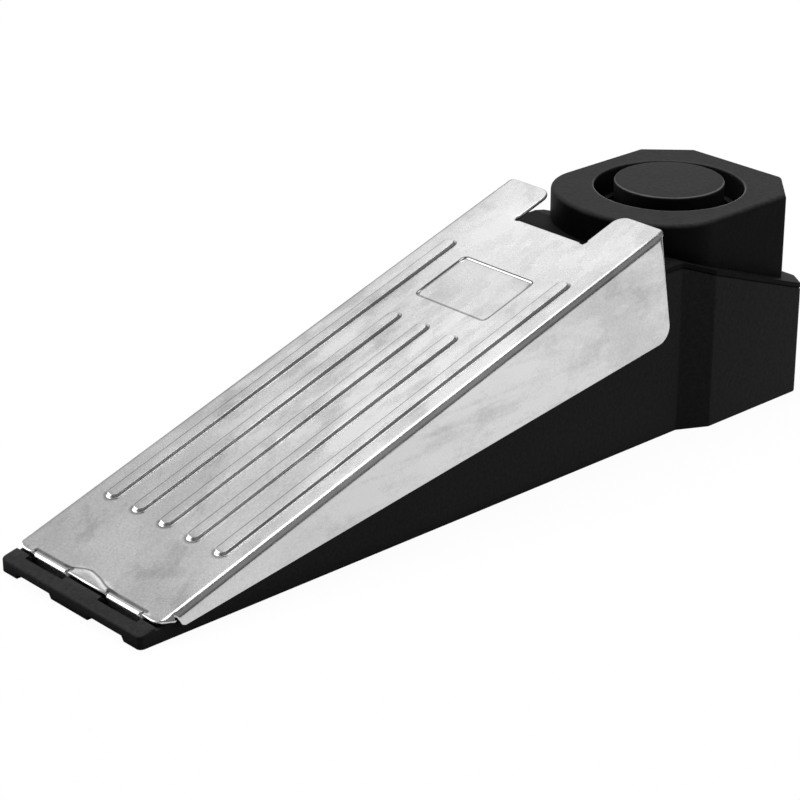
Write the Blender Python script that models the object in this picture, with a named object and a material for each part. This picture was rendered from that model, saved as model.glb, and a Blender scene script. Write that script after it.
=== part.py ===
"""Door stop alarm: a wedge-shaped case, a hinged steel pressure plate on top and a siren head at the thick end.

Run it with blender --background --python part.py, or from Blender's text editor. Lengths are in metres and +Z is
up. A station is a distance from the wedge's tip along the length, and one empty carries every piece, so that the
origin lies under the middle of the length. The steel plate's left side in the direction of +X has positive Y.
"""

import math

import bmesh
import bpy
from mathutils import Matrix, Vector

MM = 0.001

# The standard 9 V block, which sets the case's inside, and the room round it
BATTERY_LENGTH = 46.4 * MM
BATTERY_WIDTH = 26.2 * MM
BATTERY_HEIGHT = 17.2 * MM
BATTERY_SIDE_ROOM = 1.65 * MM
BATTERY_HEADROOM = 2.46 * MM
REAR_ROOM = 25.6 * MM

# The case's plan and walls, with stations counted back from its rear wall
SHOULDER = 2.7 * MM
TRANSITION_FROM_END = 34.7 * MM
TRANSITION_LENGTH = 5.1 * MM
BLOCK_CORNER = 8.0 * MM
CHAMFER_HALF_ANGLE = math.radians(22.5)
CORNER_RADIUS = 0.9 * MM
WALL = 2.0 * MM
FLOOR = 2.0 * MM

# Clearances
SEAT_GAP = 0.3 * MM
LEAD_GAP = 0.3 * MM
OVERRUN = 6.0 * MM
SINK = 0.3 * MM

# The steel plate
PLATE_ANGLE = math.radians(18.02)
PLATE_HEIGHT_AT_TIP = 2.10 * MM
PLATE_FRONT = 3.28 * MM
EAR_OVERLAP = 0.05 * MM
SHEET = 0.6 * MM
FLAP_GAP = 0.31 * MM
BEND_RADIUS = 1.2 * MM
FRONT_CORNER_RADIUS = 2.6 * MM
EAR_RADIUS = 1.6 * MM
NOTCH_DEPTH = 8.35 * MM
NOTCH_WIDTH = 15.2 * MM
FLAP_FRONT = 6.0 * MM
FLAP_LEAD_IN = 1.2 * MM
FLAP_FRONT_EDGE_HEIGHT = 1.73 * MM
FLAP_LOWER_SLOPE = math.radians(8.87)
FLAP_REAR_LEAN = math.radians(9.2)
FLAP_REAR_SETBACK = 0.9 * MM
FLAP_CORNER_RADIUS = 2.8 * MM
RIB_COUNT = 5
RIB_PITCH = 6.4 * MM
RIB_FRONT = 17.0 * MM
RIB_LONG_SETBACK = 17.15 * MM
RIB_LABEL_GAP = 4.6 * MM
RIB_WIDTH = 2.4 * MM
RIB_TOP_WIDTH = 1.2 * MM
RIB_HEIGHT = 0.5 * MM
LABEL_SETBACK = 19.45 * MM
LABEL_LENGTH = 11.0 * MM
LABEL_WIDTH = 15.8 * MM
LABEL_DEPTH = 0.25 * MM
LABEL_BORDER = 0.5 * MM
PRESS_ANGLE = math.radians(1.2)

# The plate's hooks at the front and its tongue at the notch
HOOK_INNER = 4.5 * MM
HOOK_WIDTH = 8.5 * MM
HOOK_SETBACK = -0.12 * MM
HOOK_BOTTOM = 0.25 * MM
HOOK_FOOT = 1.3 * MM
HINGE_HEIGHT = 1.6 * MM
SLOT_AHEAD = 1.1 * MM
TONGUE_WIDTH = 11.0 * MM
TONGUE_SETBACK = 0.5 * MM
TONGUE_FOOT = 1.6 * MM
TONGUE_SLOT_AHEAD = 1.3 * MM

# The tip and the channels under it
TIP_FACE_HEIGHT = 2.1 * MM
TIP_TOP_HEIGHT = 2.8 * MM
TIP_LIP_GAP = 0.33 * MM
TIP_BLOCK_LENGTH = 13.0 * MM
TIP_SOLID_LENGTH = 15.0 * MM
CHANNEL_INNER = 4.8 * MM
CHANNEL_WIDTH = 7.6 * MM
CHANNEL_DEPTH = 0.75 * MM
CHANNEL_SIDE = 0.5 * MM
CHANNEL_LENGTH = 62.0 * MM
HOOK_POCKET_DEPTH = 1.15 * MM
HOOK_POCKET_LENGTH = 3.6 * MM

# The cover
DECK_GAP = 0.3 * MM
SHELF_BEFORE_NOTCH = 4.5 * MM
RIDGE_FROM_END = 34.5 * MM
LEDGE_ANGLE = math.radians(20.15)
FLANGE = 0.6 * MM
COVER_THICKNESS = 1.6 * MM

# The siren head
HEAD_RISE = 5.32 * MM
HEAD_INSET = 0.33 * MM
HEAD_LENGTH = 37.2 * MM
HEAD_NOSE_LENGTH = 11.8 * MM
HEAD_FROM_END = 2.7 * MM
HEAD_CORNER = 6.65 * MM
HEAD_WALL = 1.8 * MM
HEAD_ROOF = 2.0 * MM
WELL_FROM_END = 19.95 * MM
WELL_RIM = 3.92 * MM
WELL_WALL = 1.2 * MM
WELL_DROP = 1.3 * MM
WELL_LIP = 1.5 * MM
WELL_LIP_THICKNESS = 0.9 * MM
CAP_GROOVE = 3.34 * MM
CAP_RISE = 1.16 * MM
CAP_SKIRT = 5.2 * MM
CAP_WALL = 1.5 * MM
CAP_ROOF = 1.6 * MM
SPIDER_HEIGHT = 1.2 * MM
SPIDER_RING = 1.1 * MM
SPOKE_COUNT = 4
SPOKE_WIDTH = 2.4 * MM

# The sounder
CHAMBER_INSET = 0.1 * MM
CHAMBER_HEIGHT = 5.0 * MM
CHAMBER_WALL = 1.0 * MM
CHAMBER_ROOF = 1.0 * MM
CHAMBER_HOLE = 3.5 * MM
CHAMBER_STEP = 1.6 * MM
PIEZO_THICKNESS = 0.35 * MM
CERAMIC_MARGIN = 3.4 * MM
CERAMIC_THICKNESS = 0.3 * MM
HAIR_GAP = 0.1 * MM

# The battery's terminals, its connector and its door
BATTERY_EDGE = 1.4 * MM
TERMINAL_SHARE = 0.2424
TERMINAL_LENGTH = 2.1 * MM
POSITIVE_RADIUS = 2.9 * MM
NEGATIVE_RADIUS = 4.1 * MM
NEGATIVE_BORE = 2.8 * MM
NEGATIVE_BORE_DEPTH = 1.4 * MM
CONNECTOR_SIDE = 0.6 * MM
CONNECTOR_HEIGHT = 12.0 * MM
CONNECTOR_THICKNESS = 2.4 * MM
CONNECTOR_EDGE = 2.2 * MM
DOOR_THICKNESS = 1.6 * MM
DOOR_SIDE = 0.4 * MM
DOOR_MARGIN = 2.0 * MM
DOOR_TAB_OFFSET = 7.5 * MM
DOOR_TAB_WIDTH = 3.6 * MM
DOOR_TAB_LENGTH = 1.8 * MM
DOOR_TAB_THICKNESS = 0.7 * MM
DOOR_TAB_SKIN = 0.5 * MM
DOOR_HINGE_HEIGHT = 0.1 * MM
LATCH_WIDTH = 8.0 * MM
LATCH_THICKNESS = 1.0 * MM
LATCH_HEIGHT = 3.4 * MM
LATCH_NOSE = 0.8 * MM
LATCH_RELIEF = 2.2 * MM
GRIP_COUNT = 4
GRIP_WIDTH = 14.0 * MM
GRIP_LENGTH = 0.9 * MM
GRIP_PITCH = 2.0 * MM
GRIP_DEPTH = 0.4 * MM

# Screws and bosses
SCREW_HEAD_RADIUS = 2.3 * MM
SCREW_HEAD_HEIGHT = 1.6 * MM
SCREW_SHANK_RADIUS = 1.1 * MM
SCREW_LENGTH = 11.0 * MM
SCREW_RECESS = 3.6 * MM
CROSS_WIDTH = 0.7 * MM
CROSS_LENGTH = 2.6 * MM
CROSS_DEPTH = 0.8 * MM
BOSS_RADIUS = 3.4 * MM
BOSS_MARGIN = 0.8 * MM
BOSS_TOP = 9.7 * MM
COVER_BOSS_RADIUS = 2.6 * MM
PILOT_DEPTH = 9.0 * MM
MID_BOSS_INSET = 3.5 * MM
REAR_BOSS_FROM_END = 9.6 * MM
REAR_BOSS_INSET = 7.85 * MM
BOARD_SCREW_HEAD_RADIUS = 1.7 * MM
BOARD_SCREW_HEAD_HEIGHT = 1.1 * MM
BOARD_SCREW_SHANK_RADIUS = 0.8 * MM
BOARD_SCREW_LENGTH = 2.6 * MM
BOARD_BOSS_RADIUS = 2.6 * MM

# The circuit board and what stands on it
BOARD_HEADROOM = 2.3 * MM
BOARD_SIDE = 1.25 * MM
BOARD_THICKNESS = 1.2 * MM
BOARD_BOTTOM = 4.0 * MM
BOARD_HOLE_FROM_FRONT = 4.5 * MM
BOARD_HOLE_INSET = 3.7 * MM
PART_GAP = 0.3 * MM
CHIP_SHARE = 0.243
CHIP_OFFSET = -6.6 * MM
CHIP_LENGTH = 9.6 * MM
CHIP_WIDTH = 6.2 * MM
CHIP_HEIGHT = 3.0 * MM
CHIP_STAND_OFF = 0.5 * MM
PIN_COUNT = 4
PIN_PITCH = 2.54 * MM
PIN_WIDTH = 0.6 * MM
PIN_REACH = 0.7 * MM
COIL_SHARE = 0.378
COIL_OFFSET = 7.5 * MM
COIL_RADIUS = 3.6 * MM
COIL_WAIST = 2.8 * MM
COIL_HEIGHT = 4.6 * MM
COIL_FLANGE = 0.8 * MM
CAPACITOR_SHARE = 0.703
CAPACITOR_OFFSET = -6.6 * MM
CAPACITOR_RADIUS = 2.6 * MM
CAPACITOR_HEIGHT = 7.0 * MM
CAPACITOR_GROOVE = 0.25 * MM
TRANSISTOR_SHARE = 0.662
TRANSISTOR_OFFSET = 8.0 * MM
TRANSISTOR_RADIUS = 2.3 * MM
TRANSISTOR_HEIGHT = 4.6 * MM
TRANSISTOR_LEG = 2.2 * MM
TRANSISTOR_PITCH = 1.27 * MM
LEG_WIDTH = 0.45 * MM
RESISTOR_FROM_FRONT = 6.6 * MM
RESISTOR_PITCH = 2.8 * MM
RESISTOR_OFFSET = 1.6 * MM
RESISTOR_RADIUS = 0.9 * MM
RESISTOR_LENGTH = 3.6 * MM
RESISTOR_LEG_SPAN = 5.6 * MM

# The trigger pin, the contact blade and the return spring
TRIGGER_FROM_BOARD_END = 4.5 * MM
TRIGGER_RADIUS = 2.4 * MM
TRIGGER_COLLAR_RADIUS = 3.6 * MM
TRIGGER_COLLAR_HEIGHT = 1.2 * MM
TRIGGER_TIP_RADIUS = 1.2 * MM
TRIGGER_TIP_LENGTH = 2.2 * MM
TRIGGER_TIP_RISE = 3.5 * MM
GUIDE_WALL = 1.4 * MM
BLADE_LENGTH = 10.0 * MM
BLADE_WIDTH = 4.0 * MM
BLADE_THICKNESS = 0.35 * MM
BLADE_ROOT_HEIGHT = 1.2 * MM
STUD_RADIUS = 1.3 * MM
STUD_MARGIN = 0.4 * MM
BRACKET_LENGTH = 2.6 * MM
SPRING_BEFORE_NOTCH = 6.8 * MM
SPRING_RADIUS = 3.2 * MM
SPRING_WIRE = 0.35 * MM
SPRING_TURNS = 5
SPRING_POINTS_PER_TURN = 14
SPRING_POCKET_DEPTH = 5.2 * MM
SPRING_POCKET_WALL = 1.0 * MM

# The power switch in the rear wall
SWITCH_HEIGHT = 8.2 * MM
SWITCH_WIDTH = 9.0 * MM
SWITCH_TALL = 4.4 * MM
SWITCH_DEPTH = 3.6 * MM
SWITCH_TRAVEL = 3.0 * MM
KNOB_WIDTH = 3.0 * MM
KNOB_TALL = 2.8 * MM
KNOB_STAND_IN = 0.1 * MM
KNOB_FOOT = 0.8 * MM
FINGER_WIDTH = 12.0 * MM
FINGER_TALL = 5.6 * MM
FINGER_DEPTH = 1.0 * MM
RAIL_THICKNESS = 1.0 * MM

# Leads
LEAD_RADIUS = 0.45 * MM
LEAD_POINTS_PER_SPAN = 4
LEAD_STEP = 2.6 * MM
LEAD_DROP = 3.4 * MM
LEAD_BEND = 1.8 * MM
LEAD_LOW = 6.6 * MM
LEAD_MIDDLE = 10.2 * MM
LEAD_HIGH = 13.8 * MM

# Grip pads
STRIP_LENGTH = 44.0 * MM
STRIP_FRONT = 17.0 * MM
REAR_PAD_LENGTH = 9.0 * MM
REAR_PAD_WIDTH = 12.0 * MM
REAR_PAD_FROM_END = 4.5 * MM
REAR_PAD_DEPTH = 0.8 * MM

# How finely round shapes are divided
ROUND_SEGMENTS = 64
SMALL_SEGMENTS = 24
TINY_SEGMENTS = 16
CORNER_STEPS = 4
NOSE_STEPS = 24

PLATE_SLOPE = math.tan(PLATE_ANGLE)
PRESS_SLOPE = math.tan(PRESS_ANGLE)
LEDGE_SLOPE = math.tan(LEDGE_ANGLE)
SHEET_DROP = SHEET / math.cos(PLATE_ANGLE)
HINGE_STATION = PLATE_FRONT + HOOK_SETBACK + SHEET / 2


def plate_top(station):
    """Height of the steel plate's upper face."""
    return PLATE_HEIGHT_AT_TIP + PLATE_SLOPE * station


def plate_underside(station):
    """Height of the steel plate's lower face."""
    return plate_top(station) - SHEET_DROP


def deck(station):
    """Height of the deck under the plate, which leaves the plate its full travel."""
    return plate_underside(station) - DECK_GAP - PRESS_SLOPE * (station - HINGE_STATION)


def deck_station(height):
    """Station where the deck reaches a height."""
    return HINGE_STATION + (height - deck(HINGE_STATION)) / (PLATE_SLOPE - PRESS_SLOPE)


# Widths, from the battery outwards
WEDGE_WIDTH = BATTERY_WIDTH + 2 * (BATTERY_SIDE_ROOM + WALL)
PLATE_WIDTH = WEDGE_WIDTH + 2 * (FLAP_GAP + SHEET)
BLOCK_WIDTH = WEDGE_WIDTH + 2 * SHOULDER
HEAD_WIDTH = WEDGE_WIDTH - 2 * HEAD_INSET
DOOR_WIDTH = BATTERY_WIDTH + 2 * DOOR_SIDE
CONNECTOR_WIDTH = BATTERY_WIDTH - 2 * CONNECTOR_SIDE
TERMINAL_OFFSET = BATTERY_WIDTH * TERMINAL_SHARE
BOARD_WIDTH = WEDGE_WIDTH - 2 * (WALL + BOARD_SIDE)
HALF_WEDGE = WEDGE_WIDTH / 2
HALF_BLOCK = BLOCK_WIDTH / 2
HALF_PLATE = PLATE_WIDTH / 2
MID_BOSS_OFFSET = BATTERY_WIDTH / 2 - MID_BOSS_INSET
REAR_BOSS_OFFSET = HALF_BLOCK - REAR_BOSS_INSET
BOARD_HOLE_OFFSET = BOARD_WIDTH / 2 - BOARD_HOLE_INSET
WELL_RADIUS = HEAD_WIDTH / 2 - WELL_RIM
CAP_RADIUS = WELL_RADIUS - CAP_GROOVE
CHAMBER_RADIUS = WELL_RADIUS - CHAMBER_INSET
CERAMIC_RADIUS = CHAMBER_RADIUS - CHAMBER_WALL - CERAMIC_MARGIN

# Stations, from where the battery and the board fit under the deck
BATTERY_BOTTOM = DOOR_THICKNESS + 2 * SEAT_GAP
BATTERY_MIDDLE = BATTERY_BOTTOM + BATTERY_HEIGHT / 2
BATTERY_FRONT = deck_station(BATTERY_BOTTOM + BATTERY_HEIGHT + BATTERY_HEADROOM + COVER_THICKNESS)
BATTERY_REAR = BATTERY_FRONT + BATTERY_LENGTH
LENGTH = BATTERY_REAR + REAR_ROOM
MID_BOSS_STATION = BATTERY_FRONT - DOOR_MARGIN - BOSS_MARGIN - BOSS_RADIUS
REAR_BOSS_STATION = LENGTH - REAR_BOSS_FROM_END
BOARD_TOP = BOARD_BOTTOM + BOARD_THICKNESS
BOARD_FRONT = deck_station(BOARD_TOP + BOARD_HEADROOM + COVER_THICKNESS)
BOARD_REAR = MID_BOSS_STATION - BOSS_RADIUS - 2 * SEAT_GAP
BOARD_LENGTH = BOARD_REAR - BOARD_FRONT
TRIGGER_STATION = BOARD_REAR - TRIGGER_FROM_BOARD_END
TRIGGER_TRAVEL = (TRIGGER_STATION - HINGE_STATION) * PRESS_SLOPE
TRIGGER_TIP_HEIGHT = BOARD_TOP + TRIGGER_TIP_RISE
COVER_FRONT = TIP_BLOCK_LENGTH + SEAT_GAP
TRANSITION_START = LENGTH - TRANSITION_FROM_END
HEAD_REAR = LENGTH - HEAD_FROM_END
HEAD_FRONT = HEAD_REAR - HEAD_LENGTH
PLATE_REAR = HEAD_FRONT + EAR_OVERLAP
NOTCH_FRONT = PLATE_REAR - NOTCH_DEPTH
SHELF_FRONT = NOTCH_FRONT - SHELF_BEFORE_NOTCH
SHELF_HEIGHT = deck(SHELF_FRONT)
RIDGE_STATION = LENGTH - RIDGE_FROM_END
HEAD_HEIGHT = SHELF_HEIGHT + HEAD_RISE
WELL_STATION = LENGTH - WELL_FROM_END
WELL_BOTTOM = SHELF_HEIGHT - WELL_DROP
CHAMBER_TOP = WELL_BOTTOM - SEAT_GAP
CHAMBER_BOTTOM = CHAMBER_TOP - CHAMBER_HEIGHT
SPRING_STATION = NOTCH_FRONT - SPRING_BEFORE_NOTCH
SPRING_POCKET_FLOOR = deck(SPRING_STATION) - SPRING_POCKET_DEPTH
LABEL_REAR = PLATE_REAR - LABEL_SETBACK
LABEL_FRONT = LABEL_REAR - LABEL_LENGTH
RIB_LONG_REAR = PLATE_REAR - RIB_LONG_SETBACK
RIB_SHORT_REAR = LABEL_FRONT - RIB_LABEL_GAP


def cover_top(station):
    """Height of the cover's upper face: deck, level shelf, then the ledge that falls towards the rear."""
    if station > RIDGE_STATION:
        return SHELF_HEIGHT - LEDGE_SLOPE * (station - RIDGE_STATION)
    return min(deck(station), SHELF_HEIGHT)


def clear_scene():
    """Removes every object that the open file holds."""
    for obj in list(bpy.data.objects):
        bpy.data.objects.remove(obj, do_unlink=True)


def material(name, colour, roughness, metallic=0.0):
    """A Principled material with one colour."""
    made = bpy.data.materials.new(name)
    made.use_nodes = True
    shader = made.node_tree.nodes["Principled BSDF"]
    shader.inputs["Base Color"].default_value = (*colour, 1.0)
    shader.inputs["Roughness"].default_value = roughness
    shader.inputs["Metallic"].default_value = metallic
    return made


def rounded(outline, radius, steps=CORNER_STEPS):
    """The outline with each corner turned into an arc, which is limited by the sides next to it."""
    points = []
    count = len(outline)
    for index in range(count):
        corner = Vector(outline[index])
        before = Vector(outline[index - 1]) - corner
        after = Vector(outline[(index + 1) % count]) - corner
        opening = before.angle(after)
        reach = min(radius / math.tan(opening / 2), before.length / 2, after.length / 2)
        start = corner + before.normalized() * reach
        end = corner + after.normalized() * reach
        bisector = (before.normalized() + after.normalized()).normalized()
        centre = corner + bisector * (reach / math.cos(opening / 2))
        for step in range(steps + 1):
            share = step / steps
            ray = start.lerp(end, share) - centre
            points.append(tuple(centre + ray.normalized() * (start - centre).length))
    return points


def outward(bm):
    """Turns every face of a closed shape outward."""
    bmesh.ops.recalc_face_normals(bm, faces=bm.faces)
    if bm.calc_volume(signed=True) < 0:
        bmesh.ops.reverse_faces(bm, faces=bm.faces)


def prism(outline, low, high):
    """A solid with this plan between two heights."""
    bm = bmesh.new()
    face = bm.faces.new([bm.verts.new((x, y, low)) for x, y in outline])
    lifted = bmesh.ops.extrude_face_region(bm, geom=[face])["geom"]
    moved = [item for item in lifted if isinstance(item, bmesh.types.BMVert)]
    bmesh.ops.translate(bm, verts=moved, vec=(0, 0, high - low))
    outward(bm)
    return bm


def side_prism(profile, left, right):
    """A solid with this side view, as pairs of station and height, between two values of Y."""
    bm = prism([(x, z) for x, z in profile], left, right)
    for vert in bm.verts:
        vert.co = Vector((vert.co.x, vert.co.z, vert.co.y))
    outward(bm)
    return bm


def draped(outline, low, high, breaks):
    """A solid with this plan whose lower and upper faces follow two height functions, folded at the breaks."""
    bm = bmesh.new()
    bm.faces.new([bm.verts.new((x, y, 0)) for x, y in outline])
    for station in breaks:
        geometry = list(bm.verts) + list(bm.edges) + list(bm.faces)
        bmesh.ops.bisect_plane(bm, geom=geometry, plane_co=(station, 0, 0), plane_no=(1, 0, 0))
    base = list(bm.verts)
    lifted = bmesh.ops.extrude_face_region(bm, geom=list(bm.faces))["geom"]
    top = [item for item in lifted if isinstance(item, bmesh.types.BMVert)]
    for vert in base:
        vert.co.z = low(vert.co.x)
    for vert in top:
        vert.co.z = high(vert.co.x)
    outward(bm)
    return bm


def block(x_range, y_range, z_range):
    """A box between three pairs of values."""
    (x0, x1), (y0, y1) = x_range, y_range
    return prism([(x0, y0), (x1, y0), (x1, y1), (x0, y1)], *z_range)


def centred(middle, width):
    """The two ends of a width that is centred on a middle."""
    return (middle - width / 2, middle + width / 2)


def ring_points(radius, segments, centre=(0, 0)):
    """Points round a circle."""
    turns = [2 * math.pi * index / segments for index in range(segments)]
    return [(centre[0] + radius * math.cos(a), centre[1] + radius * math.sin(a)) for a in turns]


def drum(radius, low, high, centre, segments=SMALL_SEGMENTS):
    """An upright cylinder."""
    return prism(ring_points(radius, segments, centre), low, high)


def turned(profile, centre, segments=SMALL_SEGMENTS):
    """A solid turned about an upright axis from pairs of radius and height; the first and last lie on the axis
    or the outline is closed, as on a ring."""
    bm = bmesh.new()
    solid = profile[0][0] == 0
    rings = []
    for radius, height in profile:
        if radius == 0:
            rings.append([bm.verts.new((centre[0], centre[1], height))])
        else:
            circle = ring_points(radius, segments, centre)
            rings.append([bm.verts.new((x, y, height)) for x, y in circle])
    pairs = list(zip(rings, rings[1:]))
    if not solid:
        pairs.append((rings[-1], rings[0]))
    for lower, upper in pairs:
        for index in range(segments):
            after = (index + 1) % segments
            if len(lower) == 1:
                bm.faces.new([lower[0], upper[index], upper[after]])
            elif len(upper) == 1:
                bm.faces.new([lower[index], upper[0], lower[after]])
            else:
                bm.faces.new([lower[index], upper[index], upper[after], lower[after]])
    outward(bm)
    return bm


def tapered(lower, upper, levels):
    """A solid that stands straight between the first two levels and narrows to the upper outline at the third."""
    bm = bmesh.new()
    outlines = (lower, lower, upper)
    rings = [[bm.verts.new((x, y, z)) for x, y in outline] for outline, z in zip(outlines, levels)]
    bm.faces.new(rings[0])
    bm.faces.new(rings[2])
    count = len(lower)
    for low, high in zip(rings, rings[1:]):
        for index in range(count):
            after = (index + 1) % count
            bm.faces.new([low[index], low[after], high[after], high[index]])
    outward(bm)
    return bm


def along_x(bm, centre):
    """Lays an upright shape, made about the origin, along +X with its foot at the centre."""
    bmesh.ops.transform(bm, matrix=Matrix.Rotation(math.pi / 2, 4, "Y"), verts=bm.verts)
    bmesh.ops.translate(bm, verts=bm.verts, vec=centre)
    return bm


def on_plate(bm):
    """Tilts a shape made level, with its stations along the slope, onto the plate's upper face."""
    tilt = Matrix.Translation((0, 0, PLATE_HEIGHT_AT_TIP)) @ Matrix.Rotation(-PLATE_ANGLE, 4, "Y")
    bmesh.ops.transform(bm, matrix=tilt, verts=bm.verts)
    return bm


def along(station):
    """Distance up the plate's slope to the point above a station."""
    return station / math.cos(PLATE_ANGLE)


def place(name, bm, parent, finish=None, origin=(0, 0, 0), crease=math.radians(25)):
    """Makes an object of a shape, with its own origin, carried by the parent."""
    bmesh.ops.translate(bm, verts=bm.verts, vec=[-value for value in origin])
    mesh = bpy.data.meshes.new(name)
    bm.to_mesh(mesh)
    bm.free()
    mesh.shade_smooth()
    mesh.set_sharp_from_angle(angle=crease)
    obj = bpy.data.objects.new(name, mesh)
    obj.location = origin
    obj.parent = parent
    bpy.context.scene.collection.objects.link(obj)
    if finish:
        mesh.materials.append(finish)
    return obj


def combine(target, operation, shapes):
    """Adds, cuts or keeps shapes, given in the parent's frame, with one Boolean each."""
    for shape in shapes:
        tool = place(f"{target.name}_{operation.lower()}_{len(target.modifiers)}", shape, target.parent)
        tool.hide_render = True
        tool.display_type = "WIRE"
        step = target.modifiers.new(tool.name, "BOOLEAN")
        step.operation = operation
        step.solver = "EXACT"
        step.object = tool


def add(target, *shapes):
    """Joins shapes to the target."""
    combine(target, "UNION", shapes)


def cut(target, *shapes):
    """Removes shapes from the target."""
    combine(target, "DIFFERENCE", shapes)


def keep(target, shape):
    """Keeps only what lies inside the shape."""
    combine(target, "INTERSECT", [shape])


def mirrored(outline):
    """A plan given for positive Y, completed with its mirror image."""
    return outline + [(x, -y) for x, y in reversed(outline)]


def case_outline(inset=0.0, front=0.0, radius=CORNER_RADIUS):
    """The case's plan, drawn in by an inset, starting at a front station."""
    shoulder = inset * math.tan(math.atan2(HALF_BLOCK - HALF_WEDGE, TRANSITION_LENGTH) / 2)
    corner_shift = inset * math.tan(CHAMFER_HALF_ANGLE)
    side = HALF_WEDGE - inset
    wide = HALF_BLOCK - inset
    rear = LENGTH - inset
    half = [
        (front, side),
        (TRANSITION_START + shoulder, side),
        (TRANSITION_START + TRANSITION_LENGTH + shoulder, wide),
        (LENGTH - BLOCK_CORNER - corner_shift, wide),
        (rear, HALF_BLOCK - BLOCK_CORNER - corner_shift),
    ]
    return rounded(mirrored(half), radius)


def head_outline(inset=0.0):
    """The siren head's plan: an oval nose, straight sides and 45 degree rear corners."""
    half_width = HEAD_WIDTH / 2 - inset
    nose_start = HEAD_FRONT + HEAD_NOSE_LENGTH
    nose_length = HEAD_NOSE_LENGTH - inset
    shift = inset * math.tan(CHAMFER_HALF_ANGLE)
    rear = [
        (HEAD_REAR - HEAD_CORNER - shift, half_width),
        (HEAD_REAR - inset, HEAD_WIDTH / 2 - HEAD_CORNER - shift),
    ]
    corners = rounded(mirrored(rear), CORNER_RADIUS)
    turns = [math.pi / 2 + math.pi * index / NOSE_STEPS for index in range(NOSE_STEPS + 1)]
    nose = [(nose_start + nose_length * math.cos(a), half_width * math.sin(a)) for a in turns]
    return corners + list(reversed(nose))


def lower_case(parent, plastic):
    """The tray: tip, floor, side walls, rear block and the bosses on its floor."""
    wall_drop = FLANGE + SEAT_GAP
    lip = PLATE_FRONT - TIP_LIP_GAP
    profile = [
        (-OVERRUN, 0),
        (LENGTH + OVERRUN, 0),
        (LENGTH + OVERRUN, cover_top(LENGTH + OVERRUN) - wall_drop),
        (RIDGE_STATION, SHELF_HEIGHT - wall_drop),
        (SHELF_FRONT, SHELF_HEIGHT - wall_drop),
        (TIP_BLOCK_LENGTH, deck(TIP_BLOCK_LENGTH) - wall_drop),
        (TIP_BLOCK_LENGTH, deck(TIP_BLOCK_LENGTH)),
        (HINGE_STATION, deck(HINGE_STATION)),
        (lip, deck(HINGE_STATION)),
        (lip, TIP_TOP_HEIGHT),
        (0, TIP_FACE_HEIGHT),
        (-OVERRUN, TIP_FACE_HEIGHT),
    ]
    half = HALF_BLOCK + OVERRUN
    case = place("lower_case", side_prism(profile, -half, half), parent, plastic)
    keep(case, prism(case_outline(), -OVERRUN, SHELF_HEIGHT + OVERRUN))
    cut(case, prism(case_outline(WALL, TIP_SOLID_LENGTH), FLOOR, SHELF_HEIGHT + OVERRUN))
    add(case, *case_bosses(), *switch_rails(), latch_wall())
    cut(case, battery_opening(), *door_tab_slots(), latch_window())
    cut(case, *screw_bores(), rear_pad_pocket(), *channels())
    cut(case, *hook_pockets(), *hook_slots(), switch_recess(), switch_slot())


def case_bosses():
    """The four screw bosses and the board's two bosses and two posts."""
    foot = FLOOR - SINK
    shapes = [drum(BOSS_RADIUS, foot, BOSS_TOP, spot) for spot in screw_spots()]
    top = BOARD_BOTTOM - SEAT_GAP
    for side in (-1, 1):
        for station in (BOARD_FRONT + BOARD_HOLE_FROM_FRONT, BOARD_REAR - BOARD_HOLE_FROM_FRONT):
            shapes.append(drum(BOARD_BOSS_RADIUS, foot, top, (station, side * BOARD_HOLE_OFFSET)))
    return shapes


def screw_spots():
    """Plan positions of the four case screws."""
    middle = [(MID_BOSS_STATION, side * MID_BOSS_OFFSET) for side in (-1, 1)]
    rear = [(REAR_BOSS_STATION, side * REAR_BOSS_OFFSET) for side in (-1, 1)]
    return middle + rear


def board_screw_spots():
    """Plan positions of the board's two screws."""
    return [(BOARD_FRONT + BOARD_HOLE_FROM_FRONT, side * BOARD_HOLE_OFFSET) for side in (-1, 1)]


def screw_bores():
    """Recesses and clearance holes for the case screws, and blind holes for the board's screws."""
    shapes = []
    for spot in screw_spots():
        bore = SCREW_SHANK_RADIUS + SEAT_GAP
        recess = SCREW_HEAD_RADIUS + SEAT_GAP
        shapes.append(turned([
            (0, -OVERRUN), (recess, -OVERRUN), (recess, SCREW_RECESS), (bore, SCREW_RECESS),
            (bore, BOSS_TOP + OVERRUN / 2), (0, BOSS_TOP + OVERRUN / 2),
        ], spot))
    for spot in board_screw_spots():
        shapes.append(drum(BOARD_SCREW_SHANK_RADIUS + SEAT_GAP, FLOOR, BOARD_TOP, spot, TINY_SEGMENTS))
    return shapes


def opening_range():
    """Stations of the battery opening's two ends."""
    return (BATTERY_FRONT - DOOR_MARGIN, BATTERY_REAR + TERMINAL_LENGTH + CONNECTOR_THICKNESS)


def door_range():
    """Stations of the battery door's two ends."""
    front, rear = opening_range()
    return (front + SEAT_GAP, rear - SEAT_GAP)


def battery_opening():
    """The hole in the floor that the battery passes through."""
    width = DOOR_WIDTH + 2 * SEAT_GAP
    return block(opening_range(), centred(0, width), (-OVERRUN, FLOOR + OVERRUN / 2))


def door_tab_slots():
    """Two pockets behind the opening, open to the inside, whose thin floor carries the door's tabs."""
    rear = opening_range()[1]
    width = DOOR_TAB_WIDTH + 2 * SEAT_GAP
    length = DOOR_TAB_LENGTH + 2 * SEAT_GAP
    span = (rear - OVERRUN, rear + length)
    heights = (DOOR_TAB_SKIN, FLOOR + OVERRUN)
    return [block(span, centred(side * DOOR_TAB_OFFSET, width), heights) for side in (-1, 1)]


def latch_wall():
    """The upright that the door's latch snaps behind."""
    front = opening_range()[0]
    span = (front - 2 * LATCH_THICKNESS, front)
    return block(span, centred(0, LATCH_WIDTH + 2 * LATCH_RELIEF), (FLOOR - SINK, LATCH_HEIGHT + 2 * LATCH_NOSE))


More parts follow.
